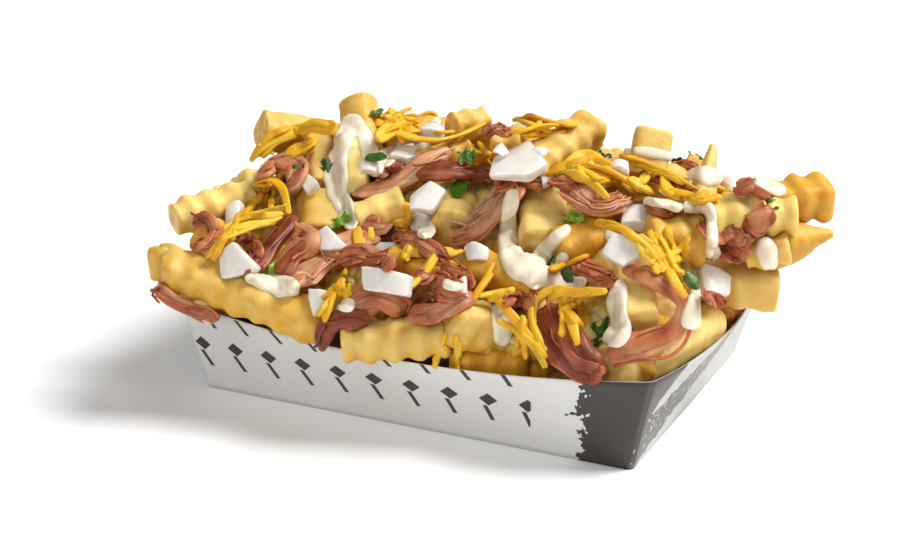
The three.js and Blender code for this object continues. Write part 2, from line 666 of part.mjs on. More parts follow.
function placeStrands(kind, strands, sides, spacing) {
  Object.entries(strands).forEach(([name, { path, plan, wide, thick }]) => {
    const flatPoints = plan ?? path;
    const pace = plan ? spacing : spacing * PIXELS_PER_MM;
    const curve = new THREE.SplineCurve(flatPoints.map(([a, b]) => new THREE.Vector2(a, b)));
    const steps = Math.max(3, Math.round(curve.getLength() / pace));
    const points = drapedPath(flatPoints, Boolean(plan), steps, wide);
    const build = (grow) => toSolid(strandGeometry(points, wide, thick, sides, grow));
    placeTopping(`${kind}_${name}`, kind, build);
  });
}

function placeOnions(pieces, isPlan) {
  Object.entries(pieces).forEach(([name, { at, size, turn }]) => {
    const build = (grow) => toSolid(diceGeometry(at, isPlan, size, turn, grow));
    placeTopping(`onion_${name}`, 'onion', build);
  });
}

// Moves the nearer end of a path onto the closest point of the paths before it.
function joinOn(path, before) {
  const pairs = before.flat().flatMap((point) => [0, path.length - 1].map((end) => (
    { point, end, apart: point.distanceTo(path[end]) }
  )));
  const closest = pairs.reduce((best, pair) => (pair.apart < best.apart ? pair : best));
  path[closest.end].copy(closest.point);
}

function placeTufts(tufts, isPlan) {
  const { wide, thick } = CHEESE_STRAND;
  Object.entries(tufts).forEach(([name, strands]) => {
    const paths = strands.map((strand) => drapedPath(strand, isPlan, 4, wide));
    paths.slice(1).forEach((path, i) => joinOn(path, paths.slice(0, i + 1)));
    const build = (grow) => paths
      .map((points) => toSolid(strandGeometry(points, wide, thick, 4, grow)))
      .reduce((tuft, strand) => tuft.add(strand));
    placeTopping(`cheese_${name}`, 'cheese', build);
  });
}

// Joins each scrap of herb to the node that it touches most, clear of all the others.
function addHerbs() {
  HERB.places.forEach((at, i) => {
    const leaf = toSolid(leafGeometry(at, HERB.turnStep * i));
    const shared = taken.map(({ solid }) => leaf.intersect(solid).volume());
    const host = shared.indexOf(Math.max(...shared));
    if (shared[host] < HERB.leastHold) {
      return;
    }
    let trimmed = leaf;
    taken.forEach(({ grown }, k) => {
      trimmed = k === host ? trimmed : trimmed.subtract(grown);
    });
    const joined = largest(taken[host].solid.add(trimmed));
    taken[host].solid = joined;
    food.getObjectByName(taken[host].name).geometry = toGeometry(joined);
  });
}

const tray = toSolid(trayGeometry(0));
const trayRoom = toSolid(trayGeometry(GAP));
place('tray', 'tray', tray, trayRoom);
const heap = largest(heapSolid(0).subtract(trayRoom));
place('fries', 'fries', heap, heapSolid(GAP));

placeStrands('carnitas', CARNITAS, 6, 8);
placeStrands('carnitas', CARNITAS_BEHIND, 6, 8);
placeStrands('crema', CREMA, 6, 9);
placeStrands('crema', CREMA_BEHIND, 6, 9);
placeOnions(ONION, false);
placeOnions(ONION_BEHIND, true);
placeTufts(CHEESE, false);
placeTufts(CHEESE_BEHIND, true);
addHerbs();

export default food;
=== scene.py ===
"""Carnitas fries: crinkle-cut fries heaped in a paper tray, with pulled pork, shredded cheese,
diced onion, crema and chopped herb.

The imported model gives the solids. Each class here builds the fine surface of one kind of food, or
of the tray, at the place of its solids, and dresses it. Layout is in millimetres in the frame's
axes; a piece that was laid out from the photograph's viewpoint is placed by the pixels of a
912 x 558 picture, and by its depth or by the solid that the line of sight meets.
"""

import json
import logging
import math
from dataclasses import dataclass, field
from enum import Enum
from typing import Any, Callable, Sequence

import bpy
import numpy as np
from mathutils import Matrix, Vector
from mathutils.bvhtree import BVHTree

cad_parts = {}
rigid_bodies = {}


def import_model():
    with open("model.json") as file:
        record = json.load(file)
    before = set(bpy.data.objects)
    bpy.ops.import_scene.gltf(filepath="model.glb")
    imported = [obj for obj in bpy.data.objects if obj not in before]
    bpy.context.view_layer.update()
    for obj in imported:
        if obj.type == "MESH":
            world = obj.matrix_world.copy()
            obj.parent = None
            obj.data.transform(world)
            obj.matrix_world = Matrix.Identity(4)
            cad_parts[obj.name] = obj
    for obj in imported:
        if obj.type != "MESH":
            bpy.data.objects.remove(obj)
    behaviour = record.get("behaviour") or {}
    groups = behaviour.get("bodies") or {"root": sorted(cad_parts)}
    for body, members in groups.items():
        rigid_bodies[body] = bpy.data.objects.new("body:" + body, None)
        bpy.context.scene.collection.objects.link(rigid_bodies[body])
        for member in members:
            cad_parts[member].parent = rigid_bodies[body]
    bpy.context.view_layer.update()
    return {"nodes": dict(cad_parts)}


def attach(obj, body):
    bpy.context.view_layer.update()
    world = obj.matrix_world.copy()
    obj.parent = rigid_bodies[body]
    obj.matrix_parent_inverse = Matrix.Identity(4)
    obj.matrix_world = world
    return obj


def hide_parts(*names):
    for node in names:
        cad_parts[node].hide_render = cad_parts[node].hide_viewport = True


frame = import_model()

LOG = logging.getLogger("carnitas_fries")

MM = 0.001
BODY = "root"
GOLDEN_SHARE = 0.618
HEART = ((-50.0, 12.0, 8.0), (50.0, 12.0, 8.0))
X_AXIS = np.array([1.0, 0.0, 0.0])
Z_AXIS = np.array([0.0, 0.0, 1.0])

Array = np.ndarray
Pixel = tuple[float, float]
Colour = tuple[float, float, float]
Strewn = tuple[int, tuple[float, float], int]


class Slot(Enum):
    """The record's material slots."""

    TRAY = "tray"
    FRIES = "fries"
    CARNITAS = "carnitas"
    CREMA = "crema"
    ONION = "onion"
    CHEESE = "cheese"


def linear(code: str) -> Colour:
    """The linear colour of a six-digit screen colour, by the usual 2.4 power curve."""
    parts = [int(code[i:i + 2], 16) / 255 for i in (0, 2, 4)]
    return tuple(c / 12.92 if c <= 0.04045 else ((c + 0.055) / 1.055) ** 2.4 for c in parts)


def unit(vectors: Array) -> Array:
    """The vectors along the last axis, each divided by its length."""
    return vectors / np.maximum(np.linalg.norm(vectors, axis=-1, keepdims=True), 1e-9)


def stood_off(middle: Array, *offsets: tuple[Array, Array]) -> Array:
    """Points moved off a middle by each distance along its direction."""
    for distance, direction in offsets:
        middle = middle + distance[..., None] * direction
    return middle


def headings(angle: Array | float) -> Array:
    """Unit directions in a plane at angles in radians."""
    return np.stack([np.cos(angle), np.sin(angle)], axis=-1)


def rotated(points: Array, turn: Array | float) -> Array:
    """Points in a plane turned about its origin by an angle in radians."""
    x, y = points[..., 0], points[..., 1]
    cos, sin = np.cos(turn), np.sin(turn)
    return np.stack([x * cos - y * sin, x * sin + y * cos], axis=-1)


def length_of(path: Array) -> float:
    """The length of a path."""
    return float(np.linalg.norm(np.diff(path, axis=0), axis=1).sum())


def dot(a: Array, b: Array) -> Array:
    """The dot products along the last axis, kept as a column."""
    return np.sum(a * b, axis=-1, keepdims=True)


@dataclass(frozen=True)
class Viewpoint:
    """The photograph's camera, whose lines of sight place the food."""

    eye: tuple[float, float, float] = (249.5, -549.6, 252.8)
    turn: float = math.radians(25.17)
    tilt: float = math.radians(19.94)
    focal: float = 1818.0
    width: int = 912
    height: int = 558
    sensor: float = 36.0
    pixels_per_mm: float = 2.9

    def axes(self) -> Array:
        """Rows of the camera's right, up and ahead directions."""
        ct, st, ce, se = (f(a) for a in (self.turn, self.tilt) for f in (math.cos, math.sin))
        right = np.array([ct, st, 0.0])
        ahead = np.array([-st * ce, ct * ce, -se])
        return np.stack([right, np.cross(right, ahead), ahead])

    def sight(self, pixels: Array) -> Array:
        """Unit directions through pixels: ahead, plus each pixel's offset over the focal length.

        Args:
            pixels: columns u and v, v downwards.

        Returns:
            One direction for each pixel.
        """
        right, up, ahead = self.axes()
        across = (pixels[:, :1] - self.width / 2) / self.focal
        rise = (self.height / 2 - pixels[:, 1:2]) / self.focal
        return unit(ahead + across * right + rise * up)

    def at_depth(self, u: float, v: float, depth: float) -> Array:
        """The point where the line of sight through a pixel reaches a depth along +Y."""
        direction = self.sight(np.array([[u, v]], float))[0]
        return np.array(self.eye) + direction * (depth - self.eye[1]) / direction[1]

    def camera(self) -> None:
        """Sets the scene's camera at this viewpoint."""
        data = bpy.data.cameras.new("photo_camera")
        data.sensor_width = self.sensor
        data.lens = self.focal / self.width * self.sensor
        data.clip_start = 0.01
        camera = bpy.data.objects.new("photo_camera", data)
        right, up, ahead = self.axes()
        matrix = Matrix(np.stack([right, up, -ahead], axis=1).tolist()).to_4x4()
        matrix.translation = Vector(self.eye) * MM
        camera.matrix_world = matrix
        bpy.context.collection.objects.link(camera)
        bpy.context.scene.camera = camera


VIEW = Viewpoint()


# Meshes as whole arrays


@dataclass
class Shell:
    """A closed surface: its corners in millimetres, its faces, and a look at each corner.

    The look is three numbers that the finish of the piece reads, as its docstring says.
    """

    points: Array
    quads: Array
    triangles: Array
    look: Array
    uv: Array | None = None


def looks(*numbers: Array | float) -> Array:
    """Looks from up to three numbers, which broadcast together, with 0 for the rest."""
    return np.stack(np.broadcast_arrays(*numbers, *[0.0] * (3 - len(numbers))), axis=-1)


def closed_grid(rings: Array, look: Array | float = 0.0, poles: Array | None = None,
                uv: Array | None = None) -> Shell:
    """Closes a grid of rings with a pole at each end, faces outwards.

    Args:
        rings: rows by columns by 3, each row a closed ring.
        look: rows by columns by 3, or what broadcasts to it.
        poles: the two end points, or None for the middles of the end rings.
        uv: rows by columns by 2, for a piece with a map of its own.

    Returns:
        The shell, turned the other way round where its signed volume is negative.
    """
    rows, columns = rings.shape[:2]
    index = np.arange(rows * columns).reshape(rows, columns)
    ahead = np.roll(index, -1, axis=1)
    quads = np.stack([index[:-1], ahead[:-1], ahead[1:], index[1:]], axis=-1).reshape(-1, 4)
    first, last = rows * columns, rows * columns + 1
    start = np.stack([np.full(columns, first), ahead[0], index[0]], axis=-1)
    end = np.stack([np.full(columns, last), index[-1], ahead[-1]], axis=-1)
    poles = rings[[0, -1]].mean(axis=1) if poles is None else poles
    points = np.concatenate([rings.reshape(-1, 3), poles])
    triangles = np.concatenate([start, end])
    faces = np.concatenate([quads[:, [0, 1, 2]], quads[:, [0, 2, 3]], triangles])
    a, b, c = (points[faces[:, k]] for k in range(3))
    if np.sum(a * np.cross(b, c)) < 0:
        quads, triangles = quads[:, ::-1], triangles[:, ::-1]
    full = np.broadcast_to(look, rings.shape).reshape(-1, 3)
    if uv is not None:
        flat = uv.reshape(-1, 2)
        uv = np.concatenate([flat, flat[:1], flat[-1:]])
    return Shell(points, quads, triangles, np.concatenate([full, full[:1], full[-1:]]), uv)


def joined(shells: Sequence[Shell]) -> Shell:
    """One shell of several, each one's faces counted on from those before it."""
    if len(shells) == 1:
        return shells[0]
    starts = np.cumsum([0] + [len(shell.points) for shell in shells])
    pairs = list(zip(shells, starts))
    return Shell(
        np.concatenate([shell.points for shell in shells]),
        np.concatenate([shell.quads + start for shell, start in pairs]),
        np.concatenate([shell.triangles + start for shell, start in pairs]),
        np.concatenate([shell.look for shell in shells]),
    )


def as_object(name: str, shell: Shell) -> bpy.types.Object:
    """Puts a shell into a smooth-shaded mesh object, in metres, with its look and map."""
    mesh = bpy.data.meshes.new(name)
    corners = np.concatenate([shell.quads.ravel(), shell.triangles.ravel()]).astype(np.int32)
    sizes = np.repeat([4, 3], [len(shell.quads), len(shell.triangles)]).astype(np.int32)
    mesh.vertices.add(len(shell.points))
    mesh.loops.add(len(corners))
    mesh.polygons.add(len(sizes))
    mesh.vertices.foreach_set("co", (shell.points * MM).astype(np.float32).ravel())
    mesh.loops.foreach_set("vertex_index", corners)
    mesh.polygons.foreach_set("loop_start", (np.cumsum(sizes) - sizes).astype(np.int32))
    mesh.update(calc_edges=True)
    mesh.validate()
    mesh.shade_smooth()
    carried = mesh.attributes.new("look", "FLOAT_VECTOR", "POINT")
    carried.data.foreach_set("vector", shell.look.astype(np.float32).ravel())
    if shell.uv is not None:
        layer = mesh.uv_layers.new(name="walls")
        layer.data.foreach_set("uv", shell.uv[corners].astype(np.float32).ravel())
    piece = bpy.data.objects.new(name, mesh)
    bpy.context.collection.objects.link(piece)
    return piece


def fuse_shells(piece: bpy.types.Object, voxel: float, passes: int) -> None:
    """Fuses a piece's shells by a voxel remesh, smooths it, and keeps the result as its mesh."""
    remesh = piece.modifiers.new("fuse", "REMESH")
    remesh.mode = "VOXEL"
    remesh.voxel_size = voxel * MM
    remesh.use_smooth_shade = True
    soften = piece.modifiers.new("soften", "SMOOTH")
    soften.factor = 0.5
    soften.iterations = passes
    evaluated = piece.evaluated_get(bpy.context.evaluated_depsgraph_get())
    mesh = bpy.data.meshes.new_from_object(evaluated)
    piece.modifiers.clear()
    rough, piece.data = piece.data, mesh
    bpy.data.meshes.remove(rough)
    mesh.shade_smooth()


def finish_piece(name: str, shells: Sequence[Shell], material: bpy.types.Material,
                 node: str | None = None, fuse: tuple[float, int] | None = None) -> None:
    """Makes a piece, dresses it, makes it ride with the food, and lets it stand for its solid.

    Args:
        name: the piece's name.
        shells: what it is made of.
        material: its finish.
        node: the solid that it stands for, if any.
        fuse: the voxel size and smoothing passes that fuse its shells, or None to keep them.
    """
    piece = as_object(name, joined(shells))
    if fuse:
        fuse_shells(piece, *fuse)
    piece.data.materials.clear()
    piece.data.materials.append(material)
    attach(piece, BODY)
    if node:
        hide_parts(node)
    LOG.info("%s: %d faces", piece.name, len(piece.data.polygons))


def ripples(points: Array, size: float, seed: int, waves: int = 7) -> Array:
    """Smooth noise from -1 to 1: the mean of sine waves that run in seeded random directions.

    Args:
        points: any shape by 3, in millimetres.
        size: the mean wavelength.
        seed: which set of waves.
        waves: how many are added up.

    Returns:
        One value for each point.
    """
    rng = np.random.default_rng(seed)
    directions = unit(rng.normal(size=(waves, 3)))
    pitch = 2 * np.pi / (size * rng.uniform(0.6, 1.6, waves))
    phases = rng.uniform(0, 2 * np.pi, waves)
    return np.sin(points @ (directions * pitch[:, None]).T + phases).sum(-1) / math.sqrt(waves)


def spline(knots: Array, count: int) -> Array:
    """Points on a Catmull-Rom curve through knots, at even steps of its parameter."""
    knots = np.asarray(knots, float)
    last = len(knots) - 1
    place = np.linspace(0, last, count)
    start = np.minimum(place.astype(int), last - 1)
    t = (place - start)[:, None]
    before, a, b, after = (knots[np.clip(start + k, 0, last)] for k in (-1, 0, 1, 2))
    pull_a, pull_b = (b - before) / 2, (after - a) / 2
    cubic = (2 * a - 2 * b + pull_a + pull_b) * t ** 3
    square = (3 * b - 3 * a - 2 * pull_a - pull_b) * t ** 2
    return cubic + square + pull_a * t + a


def even(path: Array, count: int) -> Array:
    """The path sampled again at even distances along it."""
    steps = np.linalg.norm(np.diff(path, axis=0), axis=1)
    along = np.concatenate([[0], np.cumsum(steps)])
    wanted = np.linspace(0, along[-1], count)
    return np.stack([np.interp(wanted, along, column) for column in path.T], axis=1)


def softened(values: Array, passes: int) -> Array:
    """Values along a path, each pass taking a quarter of each neighbour, its ends kept."""
    values = values.copy()
    for _ in range(passes):
        values[1:-1] = values[1:-1] / 2 + (values[:-2] + values[2:]) / 4
    return values


def bridge(depth: Array, sag: float) -> None:
    """Along the rows, lifts each depth to at most a sag below the middle of its neighbours."""
    depth[1:-1] = np.minimum(depth[1:-1], (depth[:-2] + depth[2:]) / 2 + sag)


def outward(points: Array) -> Array:
    """Directions out of the heap: away from the nearest point of a line along its inside."""
    return unit(points - np.clip(points, *HEART))


def frames(path: Array) -> tuple[Array, Array, Array]:
    """Ahead, side and up directions along a path that lies on the heap."""
    ahead = unit(np.gradient(path, axis=0))
    side = unit(np.cross(ahead, outward(path)))
    return ahead, side, np.cross(side, ahead)


def swept(path: Array, section: Array, look: Array, overhang: float) -> Shell:
    """Carries a section along a path.

    Args:
        path: rows by 3.
        section: rows by columns by 2, the offsets to the side and upwards at each row.
        look: rows by columns by 3, or what broadcasts to it.
        overhang: how far each pole stands out beyond the end rows.

    Returns:
        The closed shell.
    """
    ahead, side, up = frames(path)
    offsets = (section[..., 0], side[:, None]), (section[..., 1], up[:, None])
    rings = stood_off(path[:, None], *offsets)
    poles = rings[[0, -1]].mean(axis=1) + np.array([[-overhang], [overhang]]) * ahead[[0, -1]]
    return closed_grid(rings, look, poles)


def round_ends(count: int, length: float, radius: float) -> Array:
    """Share of the full section at each row of a strand: quarter circles at both ends."""
    along = np.linspace(0, length, count)
    reach = np.minimum(np.minimum(along, length - along) / max(radius, 1e-6), 1)
    return np.sqrt(np.clip(1 - (1 - reach) ** 2, 0.0, 1)) * 0.97 + 0.03


def circle(count: int, shift: float = 0.0) -> Array:
    """So many even angles round a circle, moved on by a share of a step."""
    return 2 * np.pi * (np.arange(count) + shift) / count


def squircle(columns: int, power: float) -> Array:
    """Columns by 2: a ring whose corners are rounder the closer its power is to 2.

    The distance at each angle is one over the power-mean of its sine and cosine.
    """
    ring = headings(circle(columns, 0.5))
    return ring / (np.abs(ring) ** power).sum(-1, keepdims=True) ** (1 / power)


# Where lines of sight meet the food


class Bed:
    """What the food is laid on, found by lines of sight or plumb lines."""

    PLUMB_START = 200.0
    FARTHEST = 645.0

    def __init__(self, pieces: Sequence[bpy.types.Object]) -> None:
        """Gathers the pieces' triangles into one search tree."""
        corners: list[Array] = []
        faces: list[Array] = []
        count = 0
        for mesh in (piece.data for piece in pieces):
            points = np.empty(len(mesh.vertices) * 3, np.float32)
            mesh.vertices.foreach_get("co", points)
            mesh.calc_loop_triangles()
            triangles = np.empty(len(mesh.loop_triangles) * 3, np.int32)
            mesh.loop_triangles.foreach_get("vertices", triangles)
            corners.append(points.reshape(-1, 3) / MM)
            faces.append(triangles.reshape(-1, 3) + count)
            count += len(mesh.vertices)
        self.tree = BVHTree.FromPolygons(
            np.concatenate(corners).tolist(), np.concatenate(faces).tolist()
        )

    def reach(self, origins: Array, directions: Array) -> Array:
        """The distance from each origin to the pieces, or infinity where a line misses them."""
        hits = (self.tree.ray_cast(Vector(o), Vector(d)) for o, d in zip(origins, directions))
        return np.array([math.inf if hit[3] is None else hit[3] for hit in hits])


def lines(flat: Array, plan: bool) -> tuple[Array, Array]:
    """Origins and directions of the lines that place flat points: of sight, or plumb in plan."""
    if plan:
        origins = np.column_stack([flat, np.full(len(flat), Bed.PLUMB_START)])
        return origins, np.tile([0.0, 0.0, -1.0], (len(flat), 1))
    return np.tile(VIEW.eye, (len(flat), 1)), VIEW.sight(flat)


@dataclass
class Table:
    """Finds where a topping lies: on its own solid, or where that misses, on everything.

    What has no solid is sunk a little. A strand lies at most a drop deeper than its nearest
    point, and each pass lifts its points to at most a sag below their neighbours. The boxes, in
    plan, are where the far side and the left end are strewn, down to the lowest level.
    """

    names: Sequence[str]
    beds: dict[str, Bed] = field(default_factory=dict)
    sink: float = 0.7
    drop: float = 25.0
    sag: float = 0.25
    passes: int = 40
    clearance: float = 7.0
    far_box: tuple[Pixel, Pixel] = ((-78.0, 16.0), (84.0, 57.0))
    left_box: tuple[Pixel, Pixel] = ((-86.0, -44.0), (-64.0, 40.0))
    limits: tuple[Pixel, Pixel] = ((-87.0, -52.0), (90.0, 59.0))
    lowest: float = 34.0

    def bed(self, name: str) -> Bed:
        """The search tree of one node, or of all under the name 'all'."""
        if name not in self.beds:
            names = self.names if name == "all" else [name]
            self.beds[name] = Bed([frame["nodes"][each] for each in names])
        return self.beds[name]

    def laid(self, flat: Array, node: str | None, thick: float, plan: bool = False) -> Array:
        """The middle line of a strand whose top, or underside, the lines find.

        Args:
            flat: points along the strand, in pixels or in plan.
            node: the strand's own solid, or None for one that has no solid.
            thick: the strand's thickness.
            plan: whether the points are in plan.

        Returns:
            Points in millimetres, smoothed along the strand.
        """
        origins, directions = lines(flat, plan)
        ground = np.minimum(self.bed("all").reach(origins, directions), Bed.FARTHEST)
        distance = ground - (thick / 2 - self.sink)
        if node is not None:
            own = self.bed(node).reach(origins, directions)
            distance = np.where(np.isfinite(own), own + thick / 2, distance)
        distance = np.minimum(distance, distance.min() + self.drop)
        for _ in range(self.passes):
            bridge(distance, self.sag)
        return origins + directions * softened(distance, 3)[:, None]

    def far_paths(self, count: int, reach: tuple[float, float],
                  seed: int) -> list[tuple[Pixel, ...]]:
        """Short bent paths in plan, spread over the part of the heap that the camera can't see.

        Args:
            count: how many are tried.
            reach: the least and greatest length, in millimetres.
            seed: which random bends, turns and places.

        Returns:
            Three points for each path all of whose points are hidden.
        """
        rng = np.random.default_rng(seed)
        spread = (np.arange(count) * GOLDEN_SHARE + rng.uniform()) % 1
        (west, near), (east, back) = self.far_box
        far = np.stack([west + (east - west) * spread, rng.uniform(near, back, count)], axis=-1)
        (west, near), (east, back) = self.left_box
        left = np.stack([rng.uniform(west, east, count), near + (back - near) * spread], axis=-1)
        middle = np.where(np.arange(count)[:, None] % 4 == 0, left, far)
        turn = rng.uniform(0, 2 * np.pi, count)
        half = (rng.uniform(*reach, count) / 2)[:, None]
        way = headings(turn) * half
        bend = np.stack([-way[:, 1], way[:, 0]], axis=-1) * rng.uniform(-0.5, 0.5, (count, 1))
        paths = np.stack([middle - way, middle + bend, middle + way], axis=1)
        paths = np.clip(paths, *self.limits)
        origins, directions = lines(paths.reshape(-1, 2), True)
        heights = self.bed("all").reach(origins, directions)
        points = origins + directions * np.minimum(heights, Bed.PLUMB_START)[:, None]
        towards = points + outward(points) * self.clearance - VIEW.eye
        seen = self.bed("all").reach(np.tile(VIEW.eye, (len(points), 1)), unit(towards))
        hidden = (seen < np.linalg.norm(towards, axis=1) - 1) & (points[:, 2] > self.lowest)
        kept = hidden.reshape(-1, 3).all(axis=1)
        return [tuple(tuple(point) for point in path) for path in paths[kept].tolist()]


# Shader graphs


def operator(operation: str, swapped: bool = False) -> Callable[..., "Wire"]:
    """A method that adds a Math node to a wire, whose inputs may be swapped."""

    def method(wire: "Wire", *others: Any) -> "Wire":
        """The result of the Math node."""
        values = (wire, *others)[::-1] if swapped else (wire, *others)
        return wire.graph.node("ShaderNodeMath", {"operation": operation}, dict(enumerate(values)))

    return method


@dataclass(frozen=True)
class Wire:
    """A shader node's output, on which arithmetic adds Math nodes."""

    graph: "Graph"
    socket: bpy.types.NodeSocket

    __add__ = __radd__ = operator("ADD")
    __sub__ = operator("SUBTRACT")
    __rsub__ = operator("SUBTRACT", swapped=True)
    __mul__ = operator("MULTIPLY")
    __truediv__ = operator("DIVIDE")
    __mod__ = operator("FLOORED_MODULO")
    __abs__ = operator("ABSOLUTE")


class Graph:
    """The node tree of one material. A colour is given by its six-digit screen code."""

    def __init__(self, name: str) -> None:
        """Makes the material, with its Principled shader alone."""
        self.material = bpy.data.materials.new(name)
        self.material.use_nodes = True
        self.nodes = self.material.node_tree.nodes
        self.shader = self.nodes["Principled BSDF"]

    def node(self, kind: str, settings: dict[str, Any], sockets: dict[Any, Any],
             output: str | int = 0) -> Wire:
        """Adds a node.

        Args:
            kind: its type.
            settings: its own properties, set first; the key stops gives a ramp's colours.
            sockets: the value or wire of each input, by name or number.
            output: which output the wire starts at.

        Returns:
            A wire from that output.
        """
        node = self.nodes.new(kind)
        for key, value in settings.items():
            if key == "stops":
                self.set_stops(node.color_ramp.elements, value)
            else:
                setattr(node, key, value)
        for key, value in sockets.items():
            self.feed(node.inputs[key], value)
        return Wire(self, node.outputs[output])

    @staticmethod
    def set_stops(elements: Any, stops: Sequence[tuple[float, str]]) -> None:
        """Gives a ramp its stops, each a place and a colour."""
        while len(elements) < len(stops):
            elements.new(1.0)
        for element, (place, code) in zip(elements, stops):
            element.position = place
            element.color = (*linear(code), 1.0)

    def feed(self, socket: bpy.types.NodeSocket, value: Any) -> None:
        """Links a wire to an input, or sets the input's value or colour."""
        if isinstance(value, Wire):
            self.material.node_tree.links.new(value.socket, socket)
        else:
            socket.default_value = (*linear(value), 1.0) if isinstance(value, str) else value

    def ramp(self, factor: Wire, *stops: tuple[float, str]) -> Wire:
        """A colour that runs through the stops as the factor rises."""
        return self.node("ShaderNodeValToRGB", {"stops": stops}, {"Fac": factor})

    def mix(self, factor: Wire | float, a: Wire | str, b: Wire | str) -> Wire:
        """The colour a, with b laid over it by the factor."""
        settings = {"data_type": "RGBA", "clamp_factor": True}
        return self.node("ShaderNodeMix", settings, {0: factor, 6: a, 7: b}, 2)

    def rise(self, value: Wire, low: float, high: float) -> Wire:
        """A mask that rises smoothly from 0 at low to 1 at high, or falls where high is lower."""
        return self.node("ShaderNodeMapRange", {"interpolation_type": "SMOOTHSTEP"},
                         {"Value": value, "From Min": low, "From Max": high})

    def noise(self, pitch: float, detail: float = 2.0, shift: float = 0.0) -> Wire:
        """Cloudy noise from 0 to 1 whose features are about that many millimetres across."""
        place = self.node("ShaderNodeTexCoord", {}, {}, "Object")
        inputs = {"Vector": place, "Scale": 1 / (pitch * MM), "Detail": detail, "W": shift}
        return self.node("ShaderNodeTexNoise", {"noise_dimensions": "4D"}, inputs, "Fac")

    def streaks(self, along: Wire | float, across: Wire | float, other: Wire | float,
                detail: float = 3.0) -> Wire:
        """Noise from 0 to 1 on coordinates of the piece's own, which stretch it as they need."""
        vector = self.node("ShaderNodeCombineXYZ", {}, {"X": along, "Y": across, "Z": other})
        inputs = {"Vector": vector, "Scale": 1.0, "Detail": detail}
        return self.node("ShaderNodeTexNoise", {"noise_dimensions": "3D"}, inputs, "Fac")

    def parts(self, vector: Wire, axes: str = "XYZ") -> tuple[Wire, ...]:
        """The numbers of a vector along the named axes."""
        return tuple(self.node("ShaderNodeSeparateXYZ", {}, {"Vector": vector}, a) for a in axes)

    def upwards(self) -> Wire:
        """How far the surface faces up, from -1 to 1."""
        return self.parts(self.node("ShaderNodeNewGeometry", {}, {}, "Normal"), "Z")[0]

    def look(self) -> tuple[Wire, ...]:
        """The three numbers that the piece carries at each corner."""
        carried = self.node("ShaderNodeAttribute", {"attribute_name": "look"}, {}, "Vector")
        return self.parts(carried)

    def dress(self, relief: Wire | None = None, depth: float = 0.1,
              soft: tuple[float, Colour, float] | None = None, **sockets: Any) -> None:
        """Feeds the shader.

        Args:
            relief: a height from 0 to 1, for fine bumps.
            depth: that height in millimetres.
            soft: the share of light that goes under the surface, how far each colour goes, and
                the scale of that in metres.
            **sockets: the value or wire of each of the shader's inputs, with _ for a space.
        """
        if soft:
            names = ("Subsurface_Weight", "Subsurface_Radius", "Subsurface_Scale")
            sockets.update(zip(names, soft))
        for key, value in sockets.items():
            self.feed(self.shader.inputs[key.replace("_", " ")], value)
        if relief is not None:
            bump = self.node("ShaderNodeBump", {}, {"Height": relief, "Distance": depth * MM})
            self.feed(self.shader.inputs["Normal"], bump)


@dataclass(frozen=True)
class Finish:
    """A procedural material, which each kind of surface paints in its own way."""

    name: str

    def paint(self, g: Graph) -> None:
        """Feeds the graph's shader."""
        raise NotImplementedError

    def material(self) -> bpy.types.Material:
        """The painted material."""
        graph = Graph(self.name)
        self.paint(graph)
        return graph.material


@dataclass(frozen=True)
class FryFinish(Finish):
    """Fried potato. The look holds the fry's tone, the height of its wave, and its cut edges."""

    name: str = "fried_potato"

    def paint(self, g: Graph) -> None:
        """Cream to golden by the fry's tone, with painted shade where the surface faces down and
        in the wave's valleys, browner at cut edges and in patches.
        """
        tone, wave, edge = g.look()
        broad, patch, grain = g.noise(13, 2.0), g.noise(4.0, 3.0, 3.0), g.noise(0.6, 3.0)
        # painted shade: faces that point down are darkened
        under = g.rise(g.upwards(), 0.1, -0.8) * 0.22
        # painted shade: the wave's valleys are a little browner than its ridges
        browned = tone + (broad - 0.5) * 0.55 + (patch - 0.5) * 0.35 - wave * 0.05 + under
        golden = g.ramp(browned, (0.0, "F2D380"), (0.25, "D9B968"), (0.5, "D4A43A"),
                        (0.75, "C2881C"), (1.0, "9A5614"))
        crisp = g.mix(edge * g.rise(patch, 0.35, 0.7) * 0.55, golden, "BE7A2C")
        fine = g.mix(g.rise(grain, 0.6, 0.8) * 0.3, crisp, "ECD592")
        g.dress(g.noise(1.1, 5.0) * 0.7 + patch * 0.5, 0.32, (0.55, (1.0, 0.6, 0.18), 0.005),
                Base_Color=fine, Roughness=0.34 + broad * 0.25, Specular_IOR_Level=0.28)


@dataclass(frozen=True)
class MeatFinish(Finish):
    """Pulled pork. The look holds the way along the band in centimetres, counted on from band
    to band, and the cosine and sine of the angle round it.
    """

    shade: float

    def paint(self, g: Graph) -> None:
        """Pink-brown meat with paler fat and darker browned streaks along its fibres."""
        along, cosine, sine = g.look()
        fibres = g.streaks(along * 0.9, cosine * 2.6, sine * 2.6, 4.0)
        hairs = g.streaks(along * 1.6, cosine * 7, sine * 7, 2.0)
        band = g.streaks(along * 0.11, 0.0, 0.0, 0.0)
        broad, crumb = g.noise(8, 2.0, 2.0), g.noise(1.0, 3.0)
        value = (fibres - 0.5) * 0.4 + (band - 0.5) * 1.0 + (broad - 0.5) * 0.9 + self.shade
        flesh = g.ramp(value, (0.0, "521C0A"), (0.28, "8A3E20"), (0.5, "B5663F"),
                       (0.72, "CB8A62"), (1.0, "DEB08A"))
        browned = g.mix(g.rise(crumb, 0.58, 0.75) * 0.3, flesh, "7C3A1A")
        fatty = g.mix(g.rise(hairs, 0.66, 0.82) * 0.22, browned, "E6C0A2")
        g.dress(fibres * 0.7 + hairs * 0.2 + crumb * 0.2, 0.17, (0.4, (1.0, 0.35, 0.18), 0.003),
                Base_Color=fatty, Roughness=0.3 + broad * 0.22, Specular_IOR_Level=0.32)


